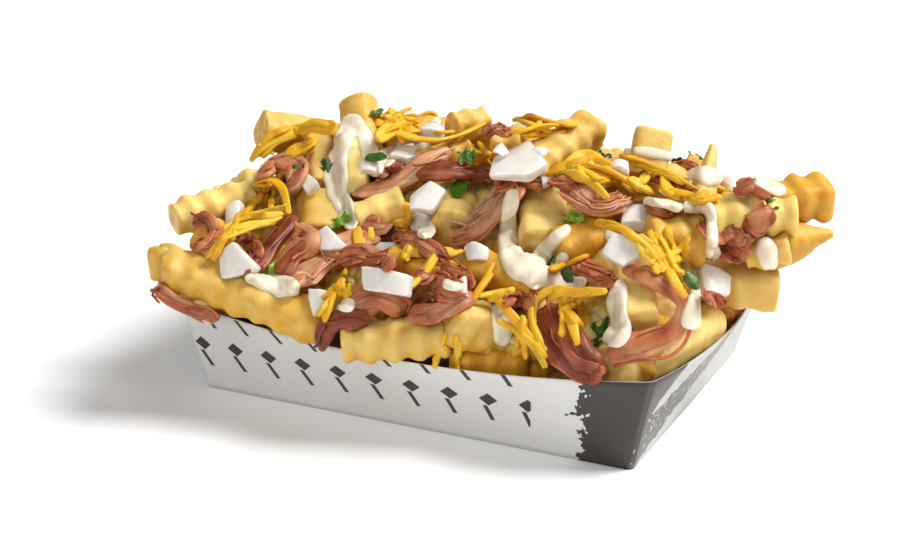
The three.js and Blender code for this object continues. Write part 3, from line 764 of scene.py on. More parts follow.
@dataclass(frozen=True)
class CremaFinish(Finish):
    """Thick white cream, a little yellow where it is thin."""

    name: str = "crema"

    def paint(self, g: Graph) -> None:
        """Off-white and glossy, with faint cloudy tone."""
        cloud = g.noise(6, 2.0)
        tint = g.ramp(cloud, (0.3, "DED2B8"), (0.7, "EDE5CF"))
        g.dress(g.noise(2.5, 2.0), 0.2, (0.35, (1.0, 0.8, 0.5), 0.0015),
                Base_Color=tint, Roughness=0.16 + cloud * 0.14, Specular_IOR_Level=0.5)


@dataclass(frozen=True)
class OnionFinish(Finish):
    """Raw white onion. The look holds the height in the dice, for its layers."""

    name: str = "white_onion"

    def paint(self, g: Graph) -> None:
        """White, slightly clear flesh with faint veins and a paler skin on each layer."""
        height, along, _ = g.look()
        vein = g.streaks(along * 0.35, height * 1.6, g.noise(9, 1.0) * 2, 1.0)
        body = g.ramp(g.noise(7, 1.0, 5.0) * 0.6 + vein * 0.4, (0.25, "C4B9AC"),
                      (0.5, "D6CEC2"), (0.75, "E4DED4"))
        layered = g.mix(g.rise(abs(height - 0.5), 0.4, 0.5) * 0.4, body, "F0EEEA")
        g.dress(vein + g.noise(1.0, 3.0) * 0.3, 0.05, (0.7, (1.0, 0.97, 0.9), 0.004),
                Base_Color=layered, Roughness=0.18 + vein * 0.15, Specular_IOR_Level=0.6)


@dataclass(frozen=True)
class CheeseFinish(Finish):
    """Shredded yellow cheese. The look holds the strand's tone and the way along it."""

    name: str = "shredded_cheese"

    def paint(self, g: Graph) -> None:
        """Golden yellow, deeper in some strands, soft and a little oily."""
        tone, along, _ = g.look()
        grain = g.streaks(along * 1.2, g.noise(1.2, 1.0) * 3, tone * 9)
        value = tone * 0.8 + (g.noise(5, 2.0) - 0.5) * 0.5 + (grain - 0.5) * 0.3 + 0.1
        yellow = g.ramp(value, (0.0, "D07C08"), (0.35, "DA940E"), (0.65, "DFA918"),
                        (1.0, "E4BC38"))
        g.dress(g.noise(0.8, 3.0) * 0.5 + grain, 0.25, (0.3, (1.0, 0.6, 0.15), 0.0018),
                Base_Color=yellow, Roughness=0.4 + grain * 0.2, Specular_IOR_Level=0.35)


@dataclass(frozen=True)
class HerbFinish(Finish):
    """Chopped green herb. The look holds the scrap's tone."""

    name: str = "chopped_herb"

    def paint(self, g: Graph) -> None:
        """Fresh green to dark green by the scrap's tone, with fine veins."""
        value = g.look()[0] + (g.noise(1.5, 3.0) - 0.5) * 0.5
        green = g.ramp(value, (0.0, "243208"), (0.5, "46700F"), (1.0, "86AE34"))
        g.dress(g.noise(0.7, 2.0), Base_Color=green, Roughness=0.42, Specular_IOR_Level=0.4)


@dataclass(frozen=True)
class GapShadeFinish(Finish):
    """The heap's core, painted deep amber as the shade that shows through the gaps between fries.
    """

    name: str = "deep_fries"

    def paint(self, g: Graph) -> None:
        """Deep amber, mottled: painted shade."""
        amber = g.ramp(g.noise(6, 3.0), (0.3, "84501A"), (0.7, "C48A34"))
        g.dress(g.noise(3, 3.0), 1.0, Base_Color=amber, Roughness=0.6)


@dataclass(frozen=True)
class PaperFinish(Finish):
    """Coated white paperboard with a printed pattern.

    The piece's own map gives the way round the wall from the front right corner, in
    centimetres, positive along the right end, and the height in centimetres. The look holds
    how close the surface is to a fold, and whether it is the outside. Sizes of the print are in
    centimetres.
    """

    name: str = "printed_paperboard"
    charcoal: str = "3B3531"
    white: str = "DAD8D5"
    pitch: float = 1.3
    lozenge_half: tuple[float, float] = (0.31, 0.26)
    dash_half: tuple[float, float] = (0.085, 0.3)
    dash_lean: float = 0.45
    end_width: float = 11.3
    blur: float = 0.02

    def lozenges(self, g: Graph, along: Wire, height: Wire, level: float, shift: float) -> Wire:
        """A row of lozenges: masks where two distances from each middle add up to under 1."""
        across = abs((along + shift) % self.pitch - self.pitch / 2) / self.lozenge_half[0]
        rise = abs(height - level) / self.lozenge_half[1]
        return g.rise(across + rise, 1.04, 0.96)

    def dashes(self, g: Graph, along: Wire, height: Wire, level: float, shift: float) -> Wire:
        """A row of short slanted strokes of even width, one in each pitch."""
        wide, high = self.dash_half
        slanted = along + (height - level) * self.dash_lean + shift
        across = abs(slanted % self.pitch - self.pitch / 2)
        return g.rise(across, wide, 0.07) * g.rise(abs(height - level), high, 0.27)

    def corner_field(self, g: Graph, along: Wire, height: Wire) -> Wire:
        """The charcoal at the front right corner.

        Its edges are ragged like dry paint. On the end wall it is a wedge beside the fold, above
        a slope, and a worn, tapering band that climbs away from the bottom corner.
        """
        ragged = (g.noise(5, 5.0) - 0.5) * 2.6 + (g.noise(1.6, 4.0, 2.0) - 0.5) * 0.8
        on_front, on_end = (g.rise(along, -side * self.blur, side * self.blur) for side in (-1, 1))
        front = g.rise(along + ragged + height * 0.12, -1.75, -1.65) * on_front
        wedge = g.rise(height - along * 0.85 + ragged * 0.25, 1.3, 1.4)
        line = abs(height - 0.85 - along * 0.2 + ragged * 0.3) + along * 0.02
        worn = g.rise(g.noise(2.2, 4.0, 7.0), 0.36, 0.42)
        end = g.rise(wedge + g.rise(line, 0.9, 0.8) * worn, 0.4, 0.6) * on_end
        return g.rise(front + end * g.rise(along, 10.4, 10.3), 0.4, 0.6)

    def paint(self, g: Graph) -> None:
        """White board, greyer on the right end wall as painted shade, rows of small shapes, and a
        charcoal field with a ragged edge.
        """
        around = g.node("ShaderNodeUVMap", {"uv_map": "walls"}, {})
        along, height = g.parts(around, "XY")
        fold, outside, _ = g.look()
        rows = self.lozenges(g, along, height, 1.75, 0.3) + self.dashes(g, along, height, 1.2, 0.3)
        rows = rows + self.dashes(g, along, height, 2.75, 0.95)
        beyond = g.rise(along, -3.4, -3.5) + g.rise(along, 11.4, 11.5)
        ink = g.rise(self.corner_field(g, along, height) + rows * beyond, 0.4, 0.6) * outside
        # painted shade: the board is greyed on the right end wall
        end = g.rise(along, -self.blur, self.blur) * g.rise(along, self.end_width, 11.1)
        board = g.mix(end * 0.8, g.mix(g.noise(30, 2.0), self.white, "D2D0CB"), "B6B4B0")
        worn = g.mix(g.rise(g.noise(0.9, 3.0), 0.68, 0.8) * 0.3, self.charcoal, "6F6A66")
        # painted shade: the board and print are darkened near the corner folds
        crease_shaded = g.mix(fold * 0.35, g.mix(ink, board, worn), "9B958F")
        g.dress(g.noise(0.6, 3.0) * 0.2 + g.noise(12, 1.0), 0.08, Base_Color=crease_shaded,
                Roughness=0.5 - ink * 0.15, Specular_IOR_Level=0.4)


# The tray


@dataclass(frozen=True)
class Tray:
    """The open paper tray: a flat bottom, and walls that flare and bow out to the rim."""

    length: float = 158.0
    width: float = 112.2
    height: float = 33.0
    end_flare: float = 7.05
    side_flare: float = 3.9
    corner: float = 2.0
    paper: float = 0.55
    side_bow: float = 7.4
    end_bow: float = 7.2
    side_dip: float = 4.7
    end_dip: float = 1.9
    corner_splay: float = 4.2
    step: float = 2.0
    rows: int = 15
    fold_share: float = 0.012

    def outline(self) -> Array:
        """Columns by 2: the way round a unit wall, from -1 to 1 each way, from the front right.

        Each side is cut in even steps, and each corner turns in a quarter circle.
        """
        half = np.array([self.length, self.width]) / 2
        flat = half - self.corner
        arcs = []
        for k, signs in enumerate([(1, 1), (-1, 1), (-1, -1), (1, -1)]):
            angle = np.linspace(0, np.pi / 2, 7) + k * np.pi / 2
            arcs.append(headings(angle) * self.corner + flat * signs)
        parts = []
        for arc, following in zip(arcs, arcs[1:] + arcs[:1]):
            side = following[0] - arc[-1]
            steps = int(np.linalg.norm(side) / self.step)
            parts += [arc, arc[-1] + side * np.linspace(0, 1, steps, endpoint=False)[1:, None]]
        return np.concatenate(parts) / half

    def wall(self, share: Array, inwards: Array, outline: Array) -> Array:
        """Rings of the wall: flared by the share of the height, bowed by its square.

        Args:
            share: each ring's share of the height.
            inwards: how far each ring is moved in, along the wall's own direction.
            outline: the unit outline.

        Returns:
            Rings by columns by 3.
        """
        along, across = outline[:, 0], outline[:, 1]
        s = share[:, None]
        on_end = (1 - across ** 2) * along ** 8
        on_side = (1 - along ** 2) * across ** 8
        corner = np.where((along > 0) & (across > 0), (along * across) ** 4, 0)
        half_x = self.length / 2 + self.end_flare * s
        half_y = self.width / 2 + self.side_flare * s
        x = along * half_x + s ** 2 * (np.sign(along) * self.end_bow * on_end)
        y = across * half_y + s ** 2 * (np.sign(across) * self.side_bow * on_side)
        x += s ** 2 * self.corner_splay * corner
        y += s ** 2 * self.corner_splay * corner
        z = s * (self.height - self.end_dip * on_end - self.side_dip * on_side)
        rings = np.stack([x, y, z], axis=-1)
        ahead = unit(np.roll(rings, -1, axis=1) - np.roll(rings, 1, axis=1))
        inward = np.cross(Z_AXIS, ahead)
        return rings + inward * inwards[:, None, None]

    def way_round(self, outline: Array) -> Array:
        """The distance round the bottom edge from the front right corner, in centimetres."""
        corners = outline * [self.length / 2, self.width / 2]
        steps = np.linalg.norm(np.diff(corners, axis=0, append=corners[:1]), axis=1)
        along = np.concatenate([[0], np.cumsum(steps)[:-1]])
        start = along[np.argmin(np.abs(outline - [1, -1]).sum(axis=1))]
        onward = (along - start) % steps.sum()
        return np.where(onward > self.length + self.width, onward - steps.sum(), onward) / 10

    def build(self) -> Shell:
        """The wall's rings: underside, outside, rim, inside and floor."""
        outline, rows = self.outline(), self.rows
        up = np.linspace(0, 1, rows)
        share = np.concatenate([up, [1.0], up[::-1]])
        inwards = np.concatenate([np.zeros(rows), [self.paper / 2], np.full(rows, self.paper)])
        rings = self.wall(share, inwards, outline)
        rings[rows, :, 2] += self.paper / 3
        rings[-1, :, 2] = self.paper
        under = rings[:1] * [[[0.97, 0.96, 0.0]]]
        floor = rings[-1:] * [[[0.97, 0.96, 1.0]]]
        rings = np.concatenate([under, rings, floor])
        fold = np.exp(-((np.abs(outline).min(axis=1) - 1) / self.fold_share) ** 2)
        outside = np.arange(len(rings))[:, None] <= rows
        uv = np.stack(np.broadcast_arrays(self.way_round(outline), rings[..., 2] / 10), axis=-1)
        poles = np.array([[0, 0, 0], [0, 0, self.paper]], float)
        return closed_grid(rings, looks(fold, outside), poles, uv)

    def dress(self) -> None:
        """Makes the tray's piece and its printed finish."""
        finish_piece("paper_tray", [self.build()], PaperFinish().material(), "tray")


# The fries


@dataclass(frozen=True)
class Fry:
    """One crinkle-cut fry.

    It has two ends, a size across, a roll, a tone from pale to brown, how slanted its first cut
    is, how far it narrows towards its second end, the share of the usual wave that it shows,
    how square it is, and how many times the usual rounding its ends have.
    """

    start: tuple[float, float, float]
    end: tuple[float, float, float]
    size: float
    roll: float
    tone: float
    slant: float = 0.0
    narrowing: float = 0.0
    wavy: float = 0.75
    power: float = 3.6
    blunt: float = 1.0


@dataclass(frozen=True)
class FryCut:
    """How a fry is cut: a square stick whose faces wave in and out together.

    Its ends are rounded: at each cut from the end it fills that share of its full size. Beyond
    the rounded length its rows are even.
    """

    wave: float = 8.2
    ripple: float = 0.72
    columns: int = 32
    rows_per_wave: int = 10
    cuts: tuple[float, ...] = (0.0, 0.0, 0.08, 0.35, 0.85, 1.5)
    fills: tuple[float, ...] = (0.4, 0.74, 0.86, 0.94, 0.985, 1.0)
    rounded: float = 2.4

    def rows(self, length: float, blunt: float) -> tuple[Array, Array]:
        """Places along a fry, closer at its ends, and the share of its full size at each."""
        count = max(6, round(length / self.wave * self.rows_per_wave))
        cuts = np.array(self.cuts) * blunt
        fill = 1 - (1 - np.array(self.fills)) * blunt ** 0.6
        inner = np.linspace(self.rounded * blunt, length - self.rounded * blunt, count)
        along = np.concatenate([cuts, inner, length - cuts[::-1]])
        return along, np.concatenate([fill, np.ones(count), fill[::-1]])

    def build(self, start: Array, end: Array, fry: Fry, seed: int) -> Shell:
        """A fry's surface.

        The half size at each row is the fry's own plus a sine wave, and it falls to nothing
        over the rounded cut ends. The axis bends a little, and smooth noise makes the faces
        uneven.

        Args:
            start: the middle of one cut end.
            end: the middle of the other.
            fry: its size, roll, tone and cut.
            seed: which random bend and unevenness.

        Returns:
            The closed shell, its look the tone, the wave's height and the cut edges.
        """
        rng = np.random.default_rng(seed)
        axis = end - start
        length = float(np.linalg.norm(axis))
        axis = axis / length
        along, scale = self.rows(length, fry.blunt)
        wave = np.cos(2 * np.pi * (along - length / 2) / self.wave + rng.uniform(-1, 1))
        taper = 1 + rng.uniform(-0.05, 0.05) * (along / length - 0.5) * 2
        taper = taper - fry.narrowing * np.clip(along / length - 0.35, 0, 1) / 0.65
        half = (fry.size / 2 * taper + self.ripple * fry.wavy * wave) * scale
        reference = X_AXIS if abs(axis[2]) > 0.8 else Z_AXIS
        side = unit(np.cross(axis, reference))
        roll = math.radians(fry.roll) + rng.uniform(-0.06, 0.06) * (along / length - 0.5)
        top = np.cross(side, axis)
        sides = np.cos(roll)[:, None] * side + np.sin(roll)[:, None] * np.cross(axis, side)
        tops = np.cross(sides, axis)
        bend = rng.uniform(-0.018, 0.018, 2) * length
        arc = (4 * (along / length) * (1 - along / length) - 0.5)[:, None]
        middle = start + along[:, None] * axis + arc * (bend[0] * side + bend[1] * top)
        ring = squircle(self.columns, fry.power)
        aspect = rng.uniform(0.93, 1.05)
        shear = fry.slant * np.exp(-along / fry.size)[:, None] * half[:, None] * ring[:, 0]
        rings = stood_off(
            middle[:, None],
            (half[:, None] * ring[:, 0] * aspect, sides[:, None]),
            (half[:, None] * ring[:, 1] / aspect, tops[:, None]),
            (shear, axis),
        )
        outwards = unit(rings - middle[:, None])
        rough = ripples(rings, 10.0, seed) * 0.38 + ripples(rings, 3.6, seed + 1) * 0.13
        rough = rough * min(1.0, 0.35 + fry.wavy)
        rings = stood_off(rings, (rough * scale[:, None], outwards))
        corner = np.clip((np.linalg.norm(ring, axis=1) - 1.08) / 0.16, 0, 1) * 0.6
        cut = np.exp(-np.minimum(along, length - along))[:, None]
        edge = np.clip(corner + cut, 0, 1)
        return closed_grid(rings, looks(fry.tone, wave[:, None] * fry.wavy, edge))


@dataclass(frozen=True)
class Mound:
    """The heap's solid middle, as half extents at rising levels."""

    levels: tuple[float, ...] = (1.4, 34, 45, 61, 72)
    left: tuple[float, ...] = (75, 86, 79, 71, 58)
    right: tuple[float, ...] = (75, 88, 86, 80, 66)
    front: tuple[float, ...] = (52, 62, 43, 20, 2)
    back: tuple[float, ...] = (52, 60, 55, 46, 36)
    corner: float = 16.0

    def height(self, x: Array, y: Array) -> Array:
        """The mound's height over a plan: the lowest that its four sides allow."""
        levels = self.levels[1:]
        sides = [(-x, self.left), (x, self.right), (-y, self.front), (y, self.back)]
        heights = [np.interp(-reach, [-e for e in ends[1:]], levels) for reach, ends in sides]
        return np.minimum.reduce(heights)

    def sunk(self, x: Array, y: Array, depth: Array) -> Array:
        """Points that deep under the mound's surface, along its own slope's direction."""
        nudge = 2.0
        slope_x = (self.height(x + nudge, y) - self.height(x - nudge, y)) / (2 * nudge)
        slope_y = (self.height(x, y + nudge) - self.height(x, y - nudge)) / (2 * nudge)
        normal = unit(np.stack([-slope_x, -slope_y, np.ones_like(x)], axis=-1))
        return np.stack([x, y, self.height(x, y)], axis=-1) - normal * depth

    def core(self, inset: float) -> Shell:
        """The mound as rings of rounded rectangles, moved in, with an uneven surface."""
        ring = squircle(96, 6.0)
        level = np.concatenate([np.linspace(2.2, 34, 8), np.linspace(36, 72, 14)])
        ends = [np.interp(level, self.levels, e) - inset for e in (self.left, self.right,
                                                                 self.front, self.back)]
        x = np.where(ring[:, 0] < 0, ends[0][:, None], ends[1][:, None]) * ring[:, 0]
        y = np.where(ring[:, 1] < 0, ends[2][:, None], ends[3][:, None]) * ring[:, 1]
        z = np.broadcast_to((level - inset * (level > 34))[:, None], x.shape)
        rings = np.stack([x, y, np.maximum(z, 2.2)], axis=-1)
        middle = rings[-1:].mean(axis=1, keepdims=True)
        cap = rings[-1:] * [0.5, 0.5, 1.0] + middle * [0.5, 0.5, 0]
        rings = np.concatenate([rings, cap])
        rings[1:-2] += outward(rings[1:-2]) * (ripples(rings[1:-2], 12, 5) * 1.5)[..., None]
        return closed_grid(rings)


# Fries that show. Each end is a pixel and a depth along +Y. Their tones are partly the
# fries' own colour and partly painted light and shade: paler for fries that lie in shade,
# deeper for lit ones.
SEEN_FRIES: tuple[Fry, ...] = (
    Fry((160, 264, -76), (325, 325, -66), 13.5, 22, 0.36, 0.6, wavy=0.6, blunt=1.6),
    Fry((161, 246, -74), (164, 280, -76), 9.5, 10, 0.4, wavy=0.3, power=2.2, blunt=1.8),
    Fry((343, 341, -73), (452, 335, -60), 13, 8, 0.26, wavy=1.0, power=3.0, blunt=1.8),
    Fry((447, 322, -66), (518, 331, -46), 13, 14, 0.32, wavy=0.5, power=6.0),
    Fry((452, 357, -58), (530, 367, -52), 12, 10, 0.6),
    Fry((614, 370, -56), (712, 322, -2), 15.8, 8, 0.05, 0.0, 0.2, wavy=0.12, power=3.0),
    Fry((631, 268, -26), (641, 326, -51), 12.5, 5, 0.15, wavy=0.1, power=7.0),
    Fry((700, 282, 2), (777, 289, 12), 13.5, 15, 0.3, wavy=0.4),
    Fry((764, 204, 14), (828, 196, 28), 14, 10, 0.58, wavy=0.9, power=4.0),
    Fry((765, 246, 10), (833, 233, 20), 14.5, 35, 0.5, 0.0, 0.9, wavy=0.15),
    Fry((748, 216, 4), (797, 216, 10), 11.5, 10, 0.2, wavy=1.0, power=2.5, blunt=1.8),
    Fry((745, 254, 2), (790, 247, 6), 10, 20, 0.2, wavy=0.9, power=2.5, blunt=1.8),
    Fry((708, 219, -8), (760, 207, 4), 12, 12, 0.2, wavy=0.9, power=2.8),
    Fry((644, 182, 10), (654, 135, 22), 13, 15, 0.25, wavy=0.0, power=7.0),
    Fry((697, 220, -4), (713, 145, 20), 8.5, 40, 0.26, 0.0, 0.75, wavy=0.15),
    Fry((526, 174, -14), (591, 127, 20), 12.5, 20, 0.3, blunt=1.5),
    Fry((524, 152, 14), (578, 138, 24), 10, 10, 0.5),
    Fry((368, 172, -10), (358, 102, 8), 12.5, 45, 0.4, wavy=0.3, power=2.8),
    Fry((260, 129, -14), (336, 143, 8), 12.5, 30, 0.26, wavy=0.4),
    Fry((320, 190, -22), (320, 138, 2), 10.5, 5, 0.16, wavy=0.2, power=2.6),
    Fry((356, 200, -22), (352, 142, -8), 10, 12, 0.04, wavy=0.3),
    Fry((321, 240, -36), (322, 202, -22), 16, 8, 0.36, wavy=0.25, power=3.0),
    Fry((173, 219, -54), (252, 197, -30), 11.5, 18, 0.12, power=3.0, blunt=1.8),
    Fry((250, 214, -34), (250, 174, -24), 7.5, 30, 0.14, wavy=0.4),
    Fry((204, 208, -40), (246, 188, -20), 8.5, 10, 0.16),
    Fry((452, 230, -31), (458, 198, -6), 15, 6, 0.2, wavy=0.35, power=3.0),
    Fry((542, 246, -27), (543, 193, 0), 15, 4, 0.0, wavy=0.3, power=4.5),
    Fry((556, 252, -30), (612, 230, -14), 13, 25, 0.62, wavy=0.2),
    Fry((646, 238, -18), (702, 240, -6), 14, 20, 0.42, wavy=0.6),
    Fry((452, 126, 14), (486, 121, 26), 9, 20, 0.24),
    Fry((712, 326, 6), (729, 311, 22), 7, 20, 0.8),
    Fry((595, 336, -46), (593, 298, -34), 8, 15, 0.6, wavy=0.3),
    Fry((203, 240, -56), (268, 238, -26), 11, 30, 0.5),
    Fry((388, 178, -10), (470, 154, 12), 12, 0, 0.4),
    Fry((470, 266, -40), (540, 290, -46), 12, 30, 0.6, wavy=0.4),
    Fry((392, 262, -42), (455, 284, -50), 12, 10, 0.6, wavy=0.4),
    Fry((232, 284, -60), (300, 264, -46), 12, 20, 0.5),
    Fry((356, 222, -30), (406, 206, -20), 12, 20, 0.12, wavy=0.4),
    Fry((508, 364, -52), (562, 374, -47), 9.5, 10, 0.78, wavy=0.3),
)

# Fries on the far side, in millimetres.
FAR_FRIES: tuple[Fry, ...] = (
    Fry((-80, 57, 41), (-22, 60, 40), 12.4, 5, 0.3),
    Fry((-12, 61, 39), (42, 60, 42), 12, 20, 0.4),
    Fry((50, 57, 43), (86, 42, 50), 12.4, 10, 0.2),
    Fry((-74, 50, 57), (-34, 55, 50), 12, 30, 0.5),
    Fry((-30, 55, 48), (2, 48, 66), 12.6, 0, 0.25),
    Fry((2, 55, 56), (40, 53, 54), 11.5, 15, 0.35),
    Fry((44, 56, 52), (66, 42, 70), 12.4, 35, 0.45),
    Fry((-62, 38, 71), (-24, 43, 68), 12.4, 10, 0.15),
    Fry((8, 44, 69), (46, 38, 67.5), 12, 40, 0.3),
    Fry((-40, 30, 75), (0, 33, 73), 12.6, 5, 0.4),
    Fry((66, 40, 62), (92, 18, 60), 12, 25, 0.55),
    Fry((88, 56, 42), (91, 22, 45), 12, 0, 0.3),
    Fry((-82, 38, 58), (-74, 4, 64), 12.4, 20, 0.2),
    Fry((-86, 46, 42), (-88, -6, 44), 12.4, 8, 0.35),
    Fry((-84, -16, 54), (-82, 20, 52), 11.5, 15, 0.5),
    Fry((-86, -10, 40), (-84, -48, 40), 12, 5, 0.4),
    Fry((10, 40, 72), (44, 18, 73), 12, 10, 0.3),
    Fry((-6, 22, 77), (26, 36, 75), 11.5, 20, 0.45),
    Fry((-67, 34, 64), (-52, 8, 72), 12, 15, 0.3),
    Fry((-50, 22, 72), (-30, 6, 77), 11.5, 30, 0.5),
    Fry((46, 30, 73), (72, 28, 65), 12, 0, 0.25),
    Fry((-77, 51, 31), (-28, 52, 32), 12.4, 10, 0.35),
    Fry((-24, 51, 31), (26, 52, 32), 12.4, 25, 0.25),
    Fry((30, 52, 32), (79, 51, 31), 12.4, 5, 0.4),
    Fry((-76.5, 45, 31), (-77, 0, 32), 12.4, 15, 0.3),
    Fry((-77, -4, 32), (-76.5, -45, 31), 12.4, 30, 0.4),
    Fry((78.5, 44, 32), (79, 6, 31), 12.4, 20, 0.35),
    Fry((62, 50, 42), (84, 38, 44), 12.4, 20, 0.3),
)


@dataclass
class FryHeap:
    """The heap of fries: those that show, those behind, and those in between.

    Those in between start from a grid over an area in plan, at a spacing, each moved by up to
    the jitter, with its ends inside the limits and its upper side a little proud of the mound.
    """

    cut: FryCut = FryCut()
    coarse: FryCut = FryCut(columns=18, rows_per_wave=6)
    mound: Mound = Mound()
    area: tuple[Pixel, Pixel] = ((-78.0, -54.0), (82.0, 56.0))
    spacing: tuple[float, float] = (17.0, 12.0)
    jitter: tuple[float, float] = (5.0, 4.0)
    limits: tuple[Pixel, Pixel] = ((-84.0, -57.0), (85.0, 56.0))
    half: tuple[float, float] = (15.0, 27.0)
    sizes: tuple[float, float] = (11.0, 13.0)
    proud: float = 0.6
    core_inset: float = 7.0
    seed: int = 11

    def between(self) -> list[Shell]:
        """Short fries that fill the mound's surface: one near each point of a jittered grid."""
        rng = np.random.default_rng(self.seed)
        steps = [np.arange(*span) for span in zip(*self.area, self.spacing)]
        middle = np.stack([grid.ravel() for grid in np.meshgrid(*steps)], axis=-1)
        count = len(middle)
        middle += np.stack([rng.uniform(-j, j, count) for j in self.jitter], axis=-1)
        turn = rng.uniform(0, np.pi, count)
        half = rng.uniform(*self.half, count)
        size = rng.uniform(*self.sizes, count)
        reach = headings(turn) * half[:, None]
        depth = (size / 2 - self.proud)[:, None]
        ends = [
            self.mound.sunk(*np.clip(middle + sign * reach, *self.limits).T, depth)
            for sign in (-1, 1)
        ]
        return [
            self.coarse.build(a, b, Fry((0, 0, 0), (0, 0, 0), across, rng.uniform(0, 90),
                                        rng.uniform(0.1, 0.5)), 500 + i)
            for i, (a, b, across) in enumerate(zip(*ends, size))
        ]

    def dress(self) -> None:
        """Makes the pieces of the heap: fries that show, fries behind, fillers and the core."""
        golden = FryFinish().material()
        fronts = [
            self.cut.build(VIEW.at_depth(*fry.start), VIEW.at_depth(*fry.end), fry, 40 + i)
            for i, fry in enumerate(SEEN_FRIES)
        ]
        backs = [
            self.cut.build(np.array(fry.start, float), np.array(fry.end, float), fry, 140 + i)
            for i, fry in enumerate(FAR_FRIES)
        ]
        core = [self.mound.core(self.core_inset)]
        parts = {"front": fronts, "back": backs, "inner": self.between(), "core": core}
        for name, shells in parts.items():
            # the core is painted dark as the shade seen between the fries
            material = GapShadeFinish().material() if name == "core" else golden
            finish_piece(f"fries_{name}", shells, material, "fries")


# Toppings


class PorkTone(Enum):
    """Where a piece of pork's colour starts: partly how browned it is, and partly painted shade
    and light, deeper for pieces that lie in shadow, such as the front chunk, and paler for some
    that lie in shade.
    """

    PALE = 0.74
    TENDER = 0.5
    BROWNED = 0.26


PALE, TENDER, BROWNED = PorkTone


@dataclass(frozen=True)
class Strand:
    """A topping's path over the heap, in pixels, or in plan where it says so.

    It has a width, a thickness, the share of its width at even steps along it, and for meat
    the number of loose threads on it and of bands, where 0 leaves that to the width, and its
    tone, which is partly how browned it is and partly painted shade.
    """

    path: tuple[Pixel, ...]
    wide: float
    thick: float
    profile: tuple[float, ...] = (1.0, 1.0)
    threads: int = 2
    bands: int = 0
    pork_tone: PorkTone = TENDER
    plan: bool = False

    def shares(self, count: int) -> Array:
        """The share of the width at each of so many even steps."""
        steps = np.linspace(0, 1, len(self.profile))
        return softened(np.interp(np.linspace(0, 1, count), steps, self.profile), 4)


# Pulled pork by its node, in pixels. A node of several pieces has each one's name after a stop.
PORK: dict[str, Strand] = {
    "upper_left": Strand(((264, 177), (278, 164), (298, 168), (293, 190)), 10, 6, pork_tone=PALE),
    "left_strand": Strand(((292, 216), (283, 232), (268, 252), (248, 273)), 7.5, 5, pork_tone=BROWNED),
    "left_fold": Strand(((298, 224), (308, 241), (294, 256), (282, 275)), 10, 6),
    "left_slab": Strand(((297, 286), (318, 264), (345, 246), (380, 233)), 11, 5, pork_tone=PALE),
    "left_hook": Strand(((194, 218), (211, 223), (215, 238), (200, 248), (190, 243)), 4.8, 4,
        pork_tone=BROWNED),
    "rim_strand": Strand(((160, 288), (174, 300), (194, 311), (216, 317)), 4.6, 4.5,
        (0.7, 1.0, 1.0, 0.8), threads=3),
    "top_strand": Strand(((352, 195), (382, 190), (408, 178), (428, 162), (450, 150)), 10, 6,
        (0.5, 0.9, 1.1, 1.1, 0.8), pork_tone=PALE),
    "top_band": Strand(((418, 173), (455, 171), (492, 180)), 9.5, 6, pork_tone=BROWNED),
    "middle_shreds": Strand(((512, 192), (494, 210), (474, 232), (452, 236)), 10, 7, threads=22,
        pork_tone=PALE),
    "right_curls": Strand(((562, 186), (584, 196), (600, 206), (622, 202)), 11, 7, threads=24,
        pork_tone=PALE),
    "right_dark": Strand(((640, 172), (664, 180), (692, 190)), 7, 5, pork_tone=BROWNED),
    "front_lobe": Strand(((355, 308), (378, 298), (402, 306)), 10, 7),
    "front_roll": Strand(((408, 315), (432, 314), (456, 302), (472, 294)), 7.5, 6),
    "front_hook": Strand(((321, 344), (328, 328), (345, 319), (364, 322)), 7, 5, pork_tone=BROWNED),
    "front_chunk.upper": Strand(((560, 304), (572, 332), (586, 352), (604, 364)), 6, 6, threads=1,
        bands=2, pork_tone=BROWNED),
    "front_chunk.middle": Strand(((548, 306), (558, 338), (576, 360), (605, 372)), 6.5, 7,
        threads=1, bands=2, pork_tone=BROWNED),
    "front_chunk.lower": Strand(((541, 314), (550, 346), (570, 368), (602, 380)), 6, 6, threads=2,
        bands=2, pork_tone=BROWNED),
    "long_curve": Strand(((622, 268), (652, 280), (683, 303), (674, 330), (645, 344), (606, 356)),
        8, 5.5, (0.8, 0.8, 0.7, 0.9, 1.1, 1.2), threads=2, bands=2),
    "right_shreds": Strand(((772, 208), (754, 226), (738, 240), (724, 258)), 9, 6, threads=6,
        bands=2),
    "right_top": Strand(((736, 192), (750, 186), (764, 194)), 6, 5),
    "back_left": Strand(((-56, 64), (-44, 58), (-30, 58), (-18, 66)), 9, 6, plan=True),
    "back_right": Strand(((22, 58), (34, 64), (50, 62)), 8, 6, plan=True),
}

# Scraps of pork without a solid, in pixels.
PORK_SCRAPS: tuple[Strand, ...] = (
    Strand(((338, 262), (362, 256), (396, 266)), 8, 3.5, threads=8),
    Strand(((392, 236), (420, 244), (448, 262)), 7, 3.5, threads=8),
    Strand(((356, 222), (380, 226), (404, 238)), 8, 3.5, threads=6),
    Strand(((412, 300), (436, 292), (462, 296)), 6, 3.0, threads=10),
    Strand(((700, 222), (716, 236), (736, 232)), 6, 3.0, threads=4),
    Strand(((498, 188), (522, 182), (552, 184)), 6, 3.5, threads=16),
    Strand(((570, 264), (590, 272), (612, 286)), 8, 4, threads=10),
    Strand(((416, 276), (436, 280), (462, 290)), 7, 3.5, threads=12),
    Strand(((440, 262), (456, 276), (474, 288)), 6, 3.5, threads=8),
    Strand(((380, 178), (390, 168), (404, 168)), 5, 3.5, threads=4),
    Strand(((484, 138), (496, 130), (510, 136)), 6, 3.5, threads=10),
    Strand(((508, 304), (520, 298), (534, 306)), 6, 3.5, threads=14),
    Strand(((648, 204), (668, 212), (688, 204)), 7, 3.5, threads=4),
    Strand(((706, 298), (716, 300), (728, 306)), 5, 3.0, threads=4),
    Strand(((552, 181), (564, 184), (578, 190)), 5, 3.0, threads=10),
    Strand(((322, 250), (336, 262), (352, 268)), 5, 3.0, threads=6),
    Strand(((240, 236), (256, 246), (262, 258)), 5, 3.0, threads=6),
)


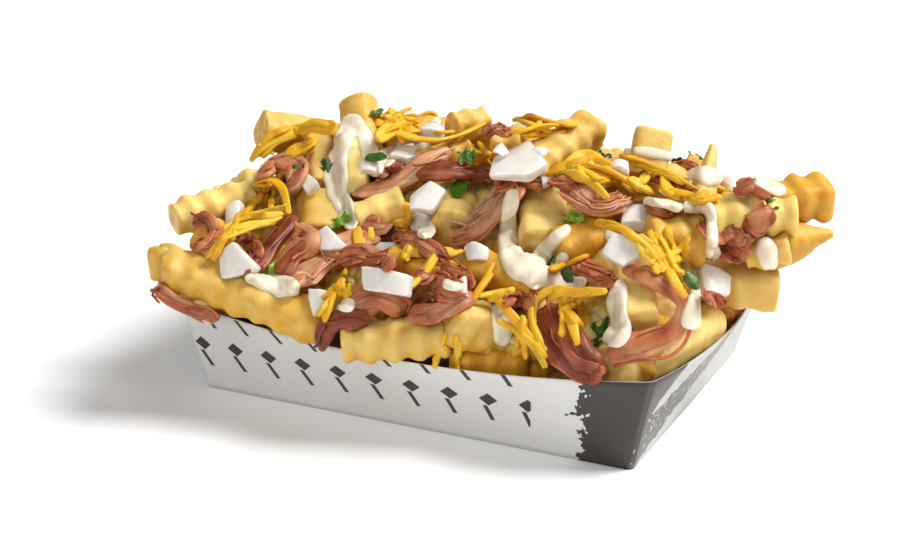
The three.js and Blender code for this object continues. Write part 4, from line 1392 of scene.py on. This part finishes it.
@dataclass
class PulledPork:
    """Pulled pork: each piece a bundle of broad bands, with loose threads of meat on it.

    A piece has so many rows of points along it, and fewer where it is a scrap.
    """

    table: Table
    strewn: Strewn = (58, (16.0, 28.0), 71)
    rows: int = 60
    scrap_rows: int = 34

    def fibre(self, path: Array, place: Array, radii: Array, span: tuple[float, float],
              number: int, sway: float = 0.4, lift: float = 0.0) -> Shell:
        """One band or thread of the bundle.

        Its section is an ellipse with shallow grooves along it. Its middle keeps its place in
        the bundle, turns slowly about the bundle's own line, and wanders.

        Args:
            path: the bundle's middle line.
            place: rows by 2, the fibre's place in the bundle, to the side and upwards.
            radii: rows by 2, its half width and half thickness.
            span: the shares of the path where it starts and ends.
            number: which wandering, and which stretch of the meat's pattern.
            sway: how far it wanders, in millimetres.
            lift: how far its ends stand up.

        Returns:
            The closed shell.
        """
        first, last = (int(s * (len(path) - 1)) for s in span)
        columns = round(0.4 * len(path)) if radii[0, 0] > 0.8 else 8
        part, place, radii = (rows[first:last + 1] for rows in (path, place, radii))
        count = len(part)
        _, side, up = frames(part)
        t = np.linspace(*span, count)
        way = np.outer(t * 30, X_AXIS)
        twist = 0.5 * np.sin(2.4 * t + number)
        a = place[:, 0] * np.cos(twist) - place[:, 1] * np.sin(twist)
        b = place[:, 0] * np.sin(twist) * 0.5 + place[:, 1]
        wander = ripples(way, 13, number) * sway
        rise = lift * np.abs(np.linspace(-1, 1, count)) ** 4
        middle = stood_off(part, (a + wander, side), (b + wander * 0.3 + rise, up))
        length = length_of(part)
        full = round_ends(count, length, min(radii.max() * 1.5, length * 0.3))
        swell = 1 + 0.13 * ripples(way, 9, number + 3)
        angle = circle(columns)
        turning = angle[None] + 0.8 * np.sin(3 * t + number)[:, None]
        groove = 1 + 0.055 * np.cos(4 * turning + number) + 0.045 * np.cos(7 * turning)
        size = (full * swell)[:, None] * groove
        across = radii[:, :1] * np.cos(angle) * size
        above = radii[:, 1:] * np.sin(angle) * size
        rings = stood_off(middle[:, None], (across, side[:, None]), (above, up[:, None]))
        along = (t * length / 10 + 40 * (number % 89))[:, None]
        return closed_grid(rings, looks(along, np.cos(angle), np.sin(angle)))

    def bundle(self, strand: Strand, node: str | None, seed: int) -> list[Shell]:
        """A base body, broad bands side by side over it, and loose threads on them.

        The bands' middles lie on an arch: highest in the middle, lower to both sides by the
        square of their place.
        """
        rng = np.random.default_rng(seed)
        flat = spline(np.array(strand.path, float), 40)
        line = self.table.laid(flat, node, strand.thick, strand.plan)
        rows = self.rows if node else self.scrap_rows
        path = even(line, rows)
        shares = strand.shares(rows)[:, None]
        wide, thick = strand.wide / 2, strand.thick / 2
        whole = np.array([[wide * 0.84, thick * 0.74]]) * shares
        shells = [self.fibre(path, 0 * shares * [0, 1], whole, (0.0, 1.0), seed, 0.2)]
        bands = strand.bands or 1 + round(strand.wide / 4.5)
        for k in range(bands):
            across = (2 * (k + 0.5) / bands - 1) * 0.66 + rng.uniform(-0.08, 0.08)
            height = thick * (0.42 - 0.45 * across ** 2) + rng.uniform(-0.3, 0.4)
            place = shares * np.array([[across * wide, height]])
            radii = shares * np.array([[wide / bands * rng.uniform(1.1, 1.6),
                                        thick * rng.uniform(0.32, 0.46)]])
            span = (rng.uniform(0.0, 0.14), rng.uniform(0.86, 1.0))
            shells.append(self.fibre(path, place, radii, span, seed + k, 0.6))
        for k in range(strand.threads):
            across = rng.uniform(-0.95, 0.95)
            height = thick * (0.78 - 0.5 * across ** 2) + rng.uniform(0.0, 0.3)
            place = shares * np.array([[across * wide, height]])
            radii = shares * np.array([[rng.uniform(0.3, 0.65), rng.uniform(0.25, 0.5)]])
            middle, reach = rng.uniform(0.1, 0.9), rng.uniform(0.15, 0.4)
            span = (max(0.0, middle - reach), min(1.0, middle + reach))
            shells.append(self.fibre(path, place, radii, span, seed + 11 + k, 1.3,
                                     rng.uniform(0.0, 1.2)))
        return shells

    def dress(self) -> None:
        """Makes a piece for each piece of pork, and one for the small scraps between them."""
        # one material for each pork tone; the deeper tones are partly painted shade
        materials = {pork_tone: MeatFinish(f"{pork_tone.name.lower()}_pork", pork_tone.value).material()
                     for pork_tone in PorkTone}
        for i, (name, strand) in enumerate(PORK.items()):
            node = "carnitas_" + name.split(".")[0]
            shells = self.bundle(strand, node, 200 + 20 * i)
            finish_piece(f"pork_{name}", shells, materials[strand.pork_tone], node)
        far = [Strand(path, 5.5, 3.5, (0.7, 1.0, 0.8), 4, plan=True)
               for path in self.table.far_paths(*self.strewn)]
        scraps = [shell for i, strand in enumerate([*PORK_SCRAPS, *far])
                  for shell in self.bundle(strand, None, 1200 + 20 * i)]
        finish_piece("pork_scraps", scraps, materials[TENDER])


# Ribbons of cream by their nodes, in pixels.
RIBBONS: dict[str, Strand] = {
    "left": Strand(((244, 277), (266, 282), (284, 286), (300, 291)), 6.4, 3.4,
        (0.6, 0.95, 1.1, 0.9)),
    "loop": Strand(((341, 214), (337, 178), (340, 146), (352, 124), (364, 138), (373, 162),
        (370, 176)), 7.4, 2.6, (0.6, 1.15, 0.9, 1.0, 0.8, 0.9, 1.2)),
    "pour": Strand(((513, 188), (508, 226), (507, 254), (530, 266), (547, 247), (571, 226)), 6.4,
        2.8, (0.9, 0.8, 1.3, 1.5, 0.9, 0.6)),
    "pool": Strand(((512, 270), (540, 277), (564, 281), (588, 281)), 8, 2.6, (0.8, 1.1, 0.9, 0.5)),
    "drip": Strand(((682, 208), (700, 206), (711, 214), (712, 236), (711, 259)), 4.4, 3.6,
        (1.0, 1.2, 0.9, 0.75, 1.6)),
    "front": Strand(((622, 278), (617, 306), (618, 330), (606, 345)), 8, 2.6, (0.7, 0.9, 0.9, 1.2)),
    "blob": Strand(((494, 304), (503, 326), (502, 347)), 6.6, 2.8, (0.6, 1.0, 1.1)),
    "right_blob": Strand(((763, 237), (768, 254), (770, 270)), 6.4, 3.4, (0.85, 1.1, 0.85)),
    "corner_blob": Strand(((696, 282), (693, 306), (687, 330)), 7.5, 2.8, (0.4, 0.7, 1.25)),
    "right_top": Strand(((686, 174), (702, 174), (722, 182)), 6.5, 2.4, (0.6, 1.1, 0.9)),
    "back": Strand(((-14, 54), (-4, 60), (8, 60), (16, 67)), 7, 4.5, plan=True),
}

# Splashes of cream without a solid, in pixels.
SPLASHES: tuple[Strand, ...] = (
    Strand(((376, 160), (388, 156), (400, 150)), 6, 2.0),
    Strand(((396, 150), (412, 145), (430, 142)), 5, 2.0),
    Strand(((643, 199), (660, 203), (684, 208)), 3.6, 2.0),
    Strand(((752, 179), (766, 182), (786, 194)), 5, 1.4),
    Strand(((632, 151), (651, 153), (674, 158)), 3.6, 1.6),
    Strand(((342, 188), (346, 206), (352, 230)), 5, 1.8),
    Strand(((418, 200), (424, 216), (424, 240)), 7, 1.4, (1.0, 0.7, 1.1)),
    Strand(((464, 246), (476, 250), (490, 256)), 5.5, 1.6),
    Strand(((440, 118), (434, 126), (440, 138)), 4, 1.8),
    Strand(((604, 232), (618, 238), (636, 250)), 7, 2.2),
    Strand(((334, 296), (342, 304), (356, 306)), 6, 2.4),
    Strand(((442, 282), (453, 286), (464, 286)), 4, 2.0),
    Strand(((566, 252), (560, 262), (552, 274)), 4.5, 2.4),
)


@dataclass
class Crema:
    """Thick white cream: poured ribbons that swell and thin, and drape over the food.

    The drops and sags, along and across, limit how deep a ribbon falls between what it lies on.
    """

    table: Table
    strewn: Strewn = (36, (16.0, 30.0), 73)
    voxel: float = 0.4
    columns: int = 17
    share: float = 0.6
    row_drop: float = 4.0
    sight_drop: float = 30.0
    plumb_drop: float = 7.0
    end_drop: float = 2.0
    sags: tuple[float, float] = (0.16, 0.3)
    passes: int = 30

    def strip(self, strand: Strand, seed: int) -> tuple[Array, Array]:
        """The strip that a ribbon covers.

        Args:
            strand: its path, width and profile.
            seed: how its edges waver.

        Returns:
            Rows by columns by 2, in pixels or in plan, and the rounding of the ends at each row.
        """
        scale = 1.0 if strand.plan else VIEW.pixels_per_mm
        path = spline(np.array(strand.path, float), 90)
        length = length_of(path) / scale
        rows = max(16, int(length / 0.55))
        path = even(path, rows)
        ahead = unit(np.gradient(path, axis=0))
        side = np.stack([-ahead[:, 1], ahead[:, 0]], axis=1)
        ends = round_ends(rows, length, strand.wide * 0.55)
        half = strand.wide / 2 * strand.shares(rows) * ends * scale
        way = np.outer(np.linspace(0, length, rows), X_AXIS)
        left, right = (1 + 0.17 * ripples(way, 9, seed + k)[:, None] for k in range(2))
        across = np.linspace(-1, 1, self.columns)
        reach = np.where(across < 0, left, right) * across * half[:, None]
        return stood_off(path[:, None], (reach, side[:, None])), ends

    def draped(self, strand: Strand, ground: Bed, seed: int) -> Shell:
        """A ribbon draped over the food.

        Lines of sight through a strip of the picture find the food under it. Gaps are bridged:
        no point lies deeper than the middle of its neighbours, plus a sag, nor more than a drop
        deeper than its row's, the strip's or the end's nearest. The top stands off that sheet,
        fullest along the middle, and falls to nothing at the strip's edges.

        Args:
            strand: the strip's path, width, thickness and profile.
            ground: what the cream lies on.
            seed: how its edges waver.

        Returns:
            The closed shell.
        """
        flat, ends = self.strip(strand, seed)
        rows = len(flat)
        origins, directions = lines(flat.reshape(-1, 2), strand.plan)
        depth = ground.reach(origins, directions).reshape(rows, self.columns)
        middle = slice(5, -5)
        drop = self.plumb_drop if strand.plan else self.sight_drop
        depth = np.minimum(depth, depth[:, middle].min() + drop)
        depth = np.minimum(depth, depth[:, middle].min(axis=1, keepdims=True) + self.row_drop)
        for _ in range(self.passes):
            bridge(depth, self.sags[0])
            bridge(depth.T, self.sags[1])
            depth[[0, -1]] = np.minimum(depth[[0, -1]], depth[[2, -3]] + self.end_drop)
        depth = np.minimum(softened(softened(depth, 16).T, 5).T, depth + 0.3) - 0.15
        sheet = (origins + directions * depth.reshape(-1, 1)).reshape(rows, self.columns, 3)
        facing = np.cross(np.gradient(sheet, axis=0), np.gradient(sheet, axis=1))
        facing = unit(facing * np.sign(-dot(facing, directions.reshape(sheet.shape))))
        facing = unit(softened(softened(facing, 4).swapaxes(0, 1), 4).swapaxes(0, 1))
        across = np.linspace(-1, 1, self.columns)
        dome = np.sqrt(np.clip(1 - np.abs(across) ** 2.6, 0, 1)) * ends[:, None]
        swell = strand.shares(rows)[:, None] ** 0.5 * (1 + 0.08 * ripples(sheet, 9, seed + 5))
        top = stood_off(sheet, (dome * swell * strand.thick * self.share, facing))
        low = sheet - facing * 0.8 * ends[:, None, None]
        return closed_grid(np.concatenate([top, low[:, -2:0:-1]], axis=1))

    def dress(self) -> None:
        """Makes a fused and smoothed piece for each ribbon, and one for the small splashes."""
        material = CremaFinish().material()
        under = ("fries_front", "fries_back", "fries_inner", "pork_")
        ground = Bed([piece for piece in bpy.data.objects if piece.name.startswith(under)])
        for i, (name, strand) in enumerate(RIBBONS.items()):
            finish_piece(f"crema_{name}_ribbon", [self.draped(strand, ground, 600 + i)], material,
                         f"crema_{name}", (self.voxel, 10))
        far = [Strand(path, 6.5, 3.6, (0.6, 1.1, 0.8), plan=True)
               for path in self.table.far_paths(*self.strewn)]
        bits = [self.draped(strand, ground, 660 + i)
                for i, strand in enumerate([*SPLASHES, *far])]
        finish_piece("crema_splashes", bits, material, fuse=(self.voxel, 9))


@dataclass(frozen=True)
class Dice:
    """A piece of onion.

    It has a middle in pixels or in plan, a length, width and thickness, a turn in degrees, and
    a number of sides.
    """

    at: Pixel
    size: tuple[float, float, float]
    turn: float
    sides: int = 4
    plan: bool = False


# Blocks of onion by their nodes: the middle in pixels, the size in millimetres.
DICED: dict[str, Dice] = {
    "top": Dice((519, 159), (21, 15, 1.8), -20, 5),
    "right": Dice((634, 212), (9, 10, 4), 5),
    "rim": Dice((718, 279), (11, 11, 3.2), 22),
    "middle": Dice((424, 196), (9, 13, 2.0), -8, 5),
    "bar": Dice((377, 249), (12.5, 4.5, 3.6), 3),
    "large": Dice((382, 282), (18, 6.6, 2.6), 12),
    "left": Dice((233, 260), (16, 6.6, 2.6), -12, 5),
    "lower_left": Dice((317, 298), (10, 9, 3.6), -30, 3),
    "upper_left": Dice((230, 214), (6, 11, 3), 15),
    "slice": Dice((329, 239), (13, 5.5, 3.4), -18, 5),
    "top_left": Dice((404, 150), (10, 6, 3.6), -25, 5),
    "crest": Dice((432, 126), (10, 8, 3.6), 10, 5),
    "under_cheese": Dice((622, 247), (12, 9, 3.6), 30, 5),
    "back_left": Dice((-40, 62), (12, 10, 4), 20, plan=True),
}

# Chips of onion without a solid.
CHIPS: tuple[Dice, ...] = (
    Dice((540, 150), (7, 5, 0.9), 60, 5),
    Dice((500, 148), (6, 4, 0.9), -20, 5),
    Dice((459, 287), (6.5, 4.5, 2.0), 10, 3),
    Dice((420, 222), (8, 9, 2.4), 30, 5),
    Dice((546, 176), (7, 5, 2.4), -40, 3),
    Dice((366, 164), (6, 5, 2.4), 20),
    Dice((476, 252), (8, 6, 2.4), 5, 5),
    Dice((306, 180), (7, 5, 2.4), -30),
    Dice((620, 162), (6, 5, 2.4), 10),
)


@dataclass
class Onion:
    """Diced white onion: slightly curved blocks with flat cut sides and crisp edges.

    Each rim is a share of the block's outline and a level from -1 to 1 through its thickness.
    """

    table: Table
    strewn: Strewn = (44, (4.0, 8.0), 74)
    curl: float = 1.2
    sunk: float = 0.9
    rims: tuple[tuple[float, float], ...] = (
        (0.3, -1.0), (0.6, -1.0), (0.9, -1.0), (0.975, -0.96), (0.995, -0.84), (1.0, -0.45),
        (0.985, -0.3), (1.0, -0.15), (1.005, 0.3), (0.99, 0.42), (1.0, 0.6), (0.995, 0.86),
        (0.975, 0.96), (0.9, 1.0), (0.6, 1.0), (0.3, 1.0),
    )

    def outline(self, dice: Dice, rng: np.random.Generator) -> Array:
        """A polygon with slightly soft corners.

        The distance at each angle is one over the 24th-power mean of the cosines to each side's
        bearing, each divided by how far out that side is.
        """
        bearing = circle(dice.sides) + rng.uniform(-0.28, 0.28, dice.sides)
        long, wide, _ = dice.size
        out = np.hypot(np.cos(bearing) * long, np.sin(bearing) * wide) / 2
        out = out * rng.uniform(0.8, 1.1, dice.sides) * (1.0 if dice.sides > 3 else 0.7)
        angle = circle(60)
        facing = np.clip(np.cos(angle[:, None] - bearing), 0, None) / out
        radius = (facing ** 24).sum(-1) ** (-1 / 24)
        return headings(angle) * radius[:, None]

    def block(self, dice: Dice, node: str | None, seed: int) -> Shell:
        """A curved block: the outline at rising levels, shrunk at both rounded edges."""
        rng = np.random.default_rng(seed)
        long, wide, thick = dice.size
        flat = np.array([dice.at], float)
        reach = min(long, wide) / 2 * (1 if dice.plan else VIEW.pixels_per_mm) * 0.8
        spots = flat + np.array([[0, 0], [reach, 0], [-reach, 0], [0, reach], [0, -reach]])
        origins, directions = lines(spots, dice.plan)
        ground = self.table.bed("all").reach(origins, directions)
        distance = ground.min() - thick * 0.3
        if node is not None:
            own = self.table.bed(node).reach(origins, directions)
            distance = own[0] if np.isfinite(own[0]) else min(own.min(), ground.min())
            distance += self.sunk
        top = origins[0] + directions[0] * distance
        up = outward(top)
        side = unit(-np.cross(np.cross(X_AXIS, up), up))
        turn = math.radians(dice.turn)
        side = side * math.cos(turn) + np.cross(up, side) * math.sin(turn)
        ahead = np.cross(up, side)
        ring = self.outline(dice, rng)
        spread, level = (np.array(values)[:, None] for values in zip(*self.rims))
        x, y = spread * ring[:, 0], spread * ring[:, 1]
        slope = rng.uniform(-0.12, 0.12, 2)
        z = level * thick / 2 + self.curl * (1 - (2 * x / long) ** 2) - self.curl
        z = z + slope[0] * x * level + slope[1] * y * level
        middle = top - up * thick / 2
        rings = stood_off(middle, (x, side), (y, ahead), (z, up))
        rings = stood_off(rings, (ripples(rings, 5, seed) * 0.14, unit(rings - middle)))
        return closed_grid(rings, looks((level + 1) / 2, x))

    def dress(self) -> None:
        """Makes a piece for each block of onion, and one for the small chips."""
        material = OnionFinish().material()
        for i, (name, dice) in enumerate(DICED.items()):
            node = f"onion_{name}"
            finish_piece(f"{node}_dice", [self.block(dice, node, 700 + i)], material,
                         node)
        rng = np.random.default_rng(75)
        far = [
            Dice(path[1], (rng.uniform(7, 12), rng.uniform(6, 9), 3.4), rng.uniform(0, 90),
                 4 + i % 2, True)
            for i, path in enumerate(self.table.far_paths(*self.strewn))
        ]
        chips = [self.block(dice, None, 740 + i) for i, dice in enumerate([*CHIPS, *far])]
        finish_piece("onion_chips", chips, material)


# Tufts of cheese by their nodes: the path of each strand, in pixels.
TUFTS: dict[str, tuple[tuple[Pixel, ...], ...]] = {
    "upper_left": (
        ((250, 162), (262, 147), (282, 135), (302, 128)),
        ((284, 158), (296, 150), (312, 140), (296, 127)), ((296, 130), (318, 126), (338, 130)),
        ((258, 156), (276, 142), (300, 134)),
    ),
    "top_left": (
        ((374, 124), (392, 117), (408, 109)), ((376, 141), (392, 128), (412, 122)),
        ((390, 130), (420, 139), (452, 138), (484, 123)), ((404, 134), (396, 122), (380, 116)),
        ((380, 134), (398, 126), (416, 130)),
    ),
    "crest": (
        ((512, 119), (540, 121), (576, 126)), ((510, 132), (534, 129), (562, 122)),
        ((470, 145), (480, 155), (492, 165)),
    ),
    "left": (
        ((252, 186), (268, 180), (282, 188), (289, 214)),
        ((222, 232), (240, 220), (264, 214), (290, 206)), ((220, 241), (246, 230), (282, 216)),
        ((206, 258), (222, 240), (236, 222)), ((246, 214), (256, 200), (270, 186)),
        ((236, 218), (250, 208), (262, 192)),
    ),
    "middle": (
        ((353, 203), (376, 213), (402, 222), (420, 232)), ((406, 202), (408, 218), (400, 240)),
        ((357, 228), (358, 240), (358, 252)),
    ),
    "centre": (
        ((402, 262), (408, 248), (422, 238)), ((404, 252), (432, 253), (464, 252)),
        ((404, 292), (420, 278), (433, 256)),
    ),
    "lower_left": (
        ((324, 320), (332, 298), (346, 272)), ((330, 300), (342, 292), (352, 296)),
        ((334, 306), (340, 288), (344, 270)),
    ),
    "front": (
        ((474, 302), (484, 280), (494, 262)), ((478, 296), (498, 293), (516, 290)),
        ((494, 296), (514, 318), (534, 346), (546, 368)),
        ((536, 294), (532, 322), (538, 350), (546, 368)), ((520, 322), (524, 342), (526, 360)),
        ((447, 332), (440, 350), (434, 369)), ((455, 334), (457, 352), (458, 371)),
    ),
    "front_right": (
        ((534, 300), (552, 290), (580, 292), (608, 291)), ((556, 290), (570, 318), (578, 346)),
        ((568, 290), (582, 312), (590, 336)), ((550, 270), (570, 262), (588, 255)),
    ),
    "top_right": (
        ((548, 173), (574, 164), (602, 165), (622, 176), (641, 192)),
        ((562, 168), (584, 157), (606, 166)), ((570, 176), (594, 180), (618, 180)),
        ((552, 172), (580, 170), (610, 178), (634, 192)),
    ),
    "crest_right": (
        ((622, 155), (646, 163), (672, 174), (698, 190)), ((628, 177), (648, 190), (668, 201)),
        ((664, 170), (668, 190), (690, 201), (722, 196)), ((640, 184), (652, 172), (668, 172)),
        ((668, 190), (690, 196), (718, 204)),
    ),
    "right": (
        ((596, 222), (620, 229), (645, 246), (656, 262)),
        ((656, 232), (664, 250), (671, 274), (686, 298)), ((638, 234), (652, 250), (668, 262)),
        ((690, 236), (678, 250), (662, 256)), ((640, 240), (650, 256), (664, 272)),
        ((648, 238), (652, 258), (658, 274)),
    ),
}


@dataclass
class Cheese:
    """Shredded cheese: tufts of crossing strands, some broad and flat.

    The strands of a tuft are as wide as usual, or by its share of that. The strands behind are
    in plan. The bits are single strands between the tufts on the side that shows.
    """

    table: Table
    strewn: Strewn = (260, (12.0, 26.0), 76)
    wide: float = 3.4
    thick: float = 1.7
    broad: dict[str, float] = field(default_factory=lambda: {
        "upper_left": 1.8, "top_left": 1.6, "top_right": 1.4, "crest_right": 1.35,
        "crest": 1.9, "front": 0.75,
    })
    bits: int = 12
    behind: tuple[tuple[Pixel, ...], ...] = (
        ((-70, 40), (-54, 46), (-40, 42)),
        ((-60, 56), (-56, 44), (-50, 34)),
    )

    def strand(self, knots: Array, node: str | None, seed: int, broad: float = 1.0,
               plan: bool = False) -> Shell:
        """A strand of flat oval section that narrows and wavers along its length.

        Args:
            knots: the points that it runs through.
            node: the tuft's own solid, or None for a strand that has none.
            seed: which size, twist and tone.
            broad: its width as a share of the usual.
            plan: whether the points are in plan.

        Returns:
            The closed shell, its look the tone and the way along.
        """
        rng = np.random.default_rng(seed)
        line = self.table.laid(spline(knots, 32), node, self.thick, plan)
        length = length_of(line)
        rows = max(20, int(length / 0.8))
        path = even(line, rows)
        full = round_ends(rows, length, 1.0)
        taper = 1 - 0.35 * np.abs(np.linspace(-1, 1, rows)) ** 3 + 0.1 * ripples(path, 8, seed)
        size = np.array([self.wide * broad, self.thick]) / 2 * rng.uniform(0.75, 1.15, 2)
        section = squircle(16, 4.0)[None] * size * (full * taper)[:, None, None]
        turn = rng.uniform(-0.5, 0.5) + 0.35 * ripples(path, 25, seed + 2)
        look = looks(rng.uniform(0.45, 1.0), np.linspace(0, length / 10, rows)[:, None])
        return swept(path, rotated(section, turn[:, None]), look, 0.15)

    def beside(self, knots: Array, seed: int) -> Array:
        """A like path: turned a little about its middle, shrunk, and moved a few pixels."""
        rng = np.random.default_rng(seed)
        centre = knots.mean(axis=0)
        turned = rotated(knots - centre, rng.uniform(-0.4, 0.4))
        return centre + turned * rng.uniform(0.5, 0.85) + rng.uniform(-8, 8, 2)

    def short_path(self, number: int) -> Array:
        """A short path in the picture, beside the middle of one of the named strands."""
        rng = np.random.default_rng(880 + number)
        strands = [strand for tuft in TUFTS.values() for strand in tuft]
        middle = np.array(strands[number * 5 % len(strands)], float).mean(axis=0)
        turn, half = rng.uniform(0, np.pi), rng.uniform(7, 16)
        way = headings(turn) * half
        middle = middle + rng.uniform(-14, 14, 2)
        return np.stack([middle - way, middle + rng.uniform(-3, 3, 2), middle + way])

    def tuft(self, name: str, strands: Sequence[Sequence[Pixel]], seed: int) -> list[Shell]:
        """The named strands of a tuft, and beside each a slimmer one where it lies on the food."""
        shells = []
        for k, knots in enumerate(np.array(strand, float) for strand in strands):
            broad = self.broad.get(name, 1.0)
            shells.append(self.strand(knots, f"cheese_{name}", seed + k, broad))
            other = self.beside(knots, seed + 31 + k)
            if np.isfinite(self.table.bed("all").reach(*lines(other, False))).all():
                shells.append(self.strand(other, None, seed + 500 + k, 0.8))
        return shells

    def dress(self) -> None:
        """Makes a piece for each tuft, and one for the single strands between them."""
        material = CheeseFinish().material()
        for i, (name, strands) in enumerate(TUFTS.items()):
            shells = self.tuft(name, strands, 800 + 10 * i)
            finish_piece(f"cheese_{name}_tuft", shells, material, f"cheese_{name}")
        node = "cheese_back_left"
        shells = [self.strand(np.array(knots, float), node, 950 + k, plan=True)
                  for k, knots in enumerate(self.behind)]
        finish_piece(f"{node}_tuft", shells, material, node)
        far = [self.strand(np.array(path), None, 970 + k, plan=True)
               for k, path in enumerate(self.table.far_paths(*self.strewn))]
        near = [self.strand(self.short_path(k), None, 1010 + k, 0.7) for k in range(self.bits)]
        finish_piece("cheese_bits", far + near, material)


@dataclass
class Herb:
    """Chopped herb: small curled leaf scraps scattered over the food, and slices of stem.

    Each place and slice is a pixel, a size in millimetres and a tone from dark to light.
    """

    table: Table
    strewn: Strewn = (22, (4.0, 8.0), 77)
    places: tuple[tuple[float, float, float, float], ...] = (
        (263, 192, 8, 0.2), (340, 222, 7.5, 0.8), (575, 218, 7.5, 0.9), (467, 157, 9, 0.4),
        (445, 238, 8.5, 0.4), (327, 166, 6.5, 0.1), (599, 333, 9, 0.3), (771, 202, 7.5, 0.2),
        (597, 156, 9, 0.1), (683, 163, 8.5, 0.1), (270, 273, 7, 0.9), (376, 114, 5.5, 0.4),
        (298, 168, 5, 0.2), (560, 258, 5, 0.6),
    )
    slices: tuple[tuple[float, float, float, float], ...] = (
        (459, 189, 9.5, 0.35), (691, 281, 7, 0.3), (376, 158, 8, 0.2), (568, 276, 6, 0.1),
    )

    def scrap(self, at: Pixel, size: float, tone: float, seed: int, plan: bool = False,
              lobed: float = 1.0) -> Shell:
        """A lobed leaf: a flattened ball whose outline and height wave with the angle."""
        middle = self.table.laid(np.array([at] * 3), None, 1.2, plan)[1]
        rng = np.random.default_rng(seed)
        up = outward(middle)
        side = unit(np.cross(up, rng.normal(size=3)))
        ahead = np.cross(up, side)
        tilt = np.linspace(0, np.pi, 16)[1:-1, None]
        turn = circle(40)
        lobes = 1 + lobed * (0.28 * np.cos(5 * turn + seed) + 0.14 * np.cos(9 * turn))
        radius = np.sin(tilt) ** 0.6 * lobes * size / 2
        x, y = radius * np.cos(turn), radius * np.sin(turn) * 0.62
        wave = lobed * (0.7 * np.sin(x * 1.6 + seed) + 0.5 * np.cos(y * 2.2))
        z = np.cos(tilt) * 0.35 + wave + 0.4
        rings = stood_off(middle, (x, side), (y, ahead), (z, up))
        return closed_grid(rings, looks(tone))

    def dress(self) -> None:
        """Makes one piece of all the scraps, which rides on the food."""
        shells = [self.scrap((u, v), size, tone, 1000 + i)
                  for i, (u, v, size, tone) in enumerate(self.places)]
        far = [self.scrap(path[1], 5 + i % 3, i % 4 / 4, 1030 + i, True)
               for i, path in enumerate(self.table.far_paths(*self.strewn))]
        rounds = [self.scrap((u, v), size, tone, 1070 + i, lobed=0.15)
                  for i, (u, v, size, tone) in enumerate(self.slices)]
        finish_piece("herb_scraps", shells + rounds + far, HerbFinish().material(),
                     "fries")


# The studio


@dataclass(frozen=True)
class Lamp:
    """A soft square light: where it stands, what it looks at, its size and its power."""

    name: str
    at: tuple[float, float, float]
    towards: tuple[float, float, float]
    size: float
    power: float

    def place(self) -> None:
        """Adds the light to the scene."""
        data = bpy.data.lights.new(self.name, "AREA")
        data.size = self.size
        data.energy = self.power
        lamp = bpy.data.objects.new(self.name, data)
        lamp.location = self.at
        aim = Vector(self.towards) - Vector(self.at)
        lamp.rotation_euler = aim.to_track_quat("-Z", "Y").to_euler()
        bpy.context.collection.objects.link(lamp)


@dataclass(frozen=True)
class Studio:
    """A pale floor, a white surround and soft lights, the strongest from the right."""

    half_floor: float = 6.0
    surround: float = 0.165
    lamps: tuple[Lamp, ...] = (
        Lamp("key", (1.35, 0.7, 2.0), (0.0, 0.0, 0.04), 1.2, 90.0),
        Lamp("fill", (-0.15, -2.2, 1.6), (0.0, 0.0, 0.03), 2.1, 31.0),
    )

    def build(self) -> None:
        """Sets the floor, the surround, the lights, the view transform and the camera."""
        h = self.half_floor
        mesh = bpy.data.meshes.new("floor")
        mesh.from_pydata([(-h, -h, 0), (h, -h, 0), (h, h, 0), (-h, h, 0)], [], [(0, 1, 2, 3)])
        floor = bpy.data.objects.new("floor", mesh)
        bpy.context.collection.objects.link(floor)
        graph = Graph("pale_floor")
        graph.dress(Base_Color=(0.98, 0.98, 0.98, 1.0), Roughness=0.9, Specular_IOR_Level=0.1)
        mesh.materials.append(graph.material)
        world = bpy.data.worlds.new("white_surround")
        world.use_nodes = True
        background = world.node_tree.nodes["Background"]
        background.inputs["Color"].default_value = (1, 1, 1, 1)
        background.inputs["Strength"].default_value = self.surround
        bpy.context.scene.world = world
        for lamp in self.lamps:
            lamp.place()
        bpy.context.scene.view_settings.view_transform = "Standard"
        VIEW.camera()


def main() -> None:
    """Builds the studio, the tray and the food in order."""
    logging.basicConfig(level=logging.INFO, format="%(name)s %(message)s")
    Studio().build()
    table = Table(sorted(frame["nodes"]))
    Tray().dress()
    FryHeap().dress()
    for topping in (PulledPork(table), Crema(table), Onion(table), Cheese(table), Herb(table)):
        topping.dress()


if __name__ == "__main__":
    main()
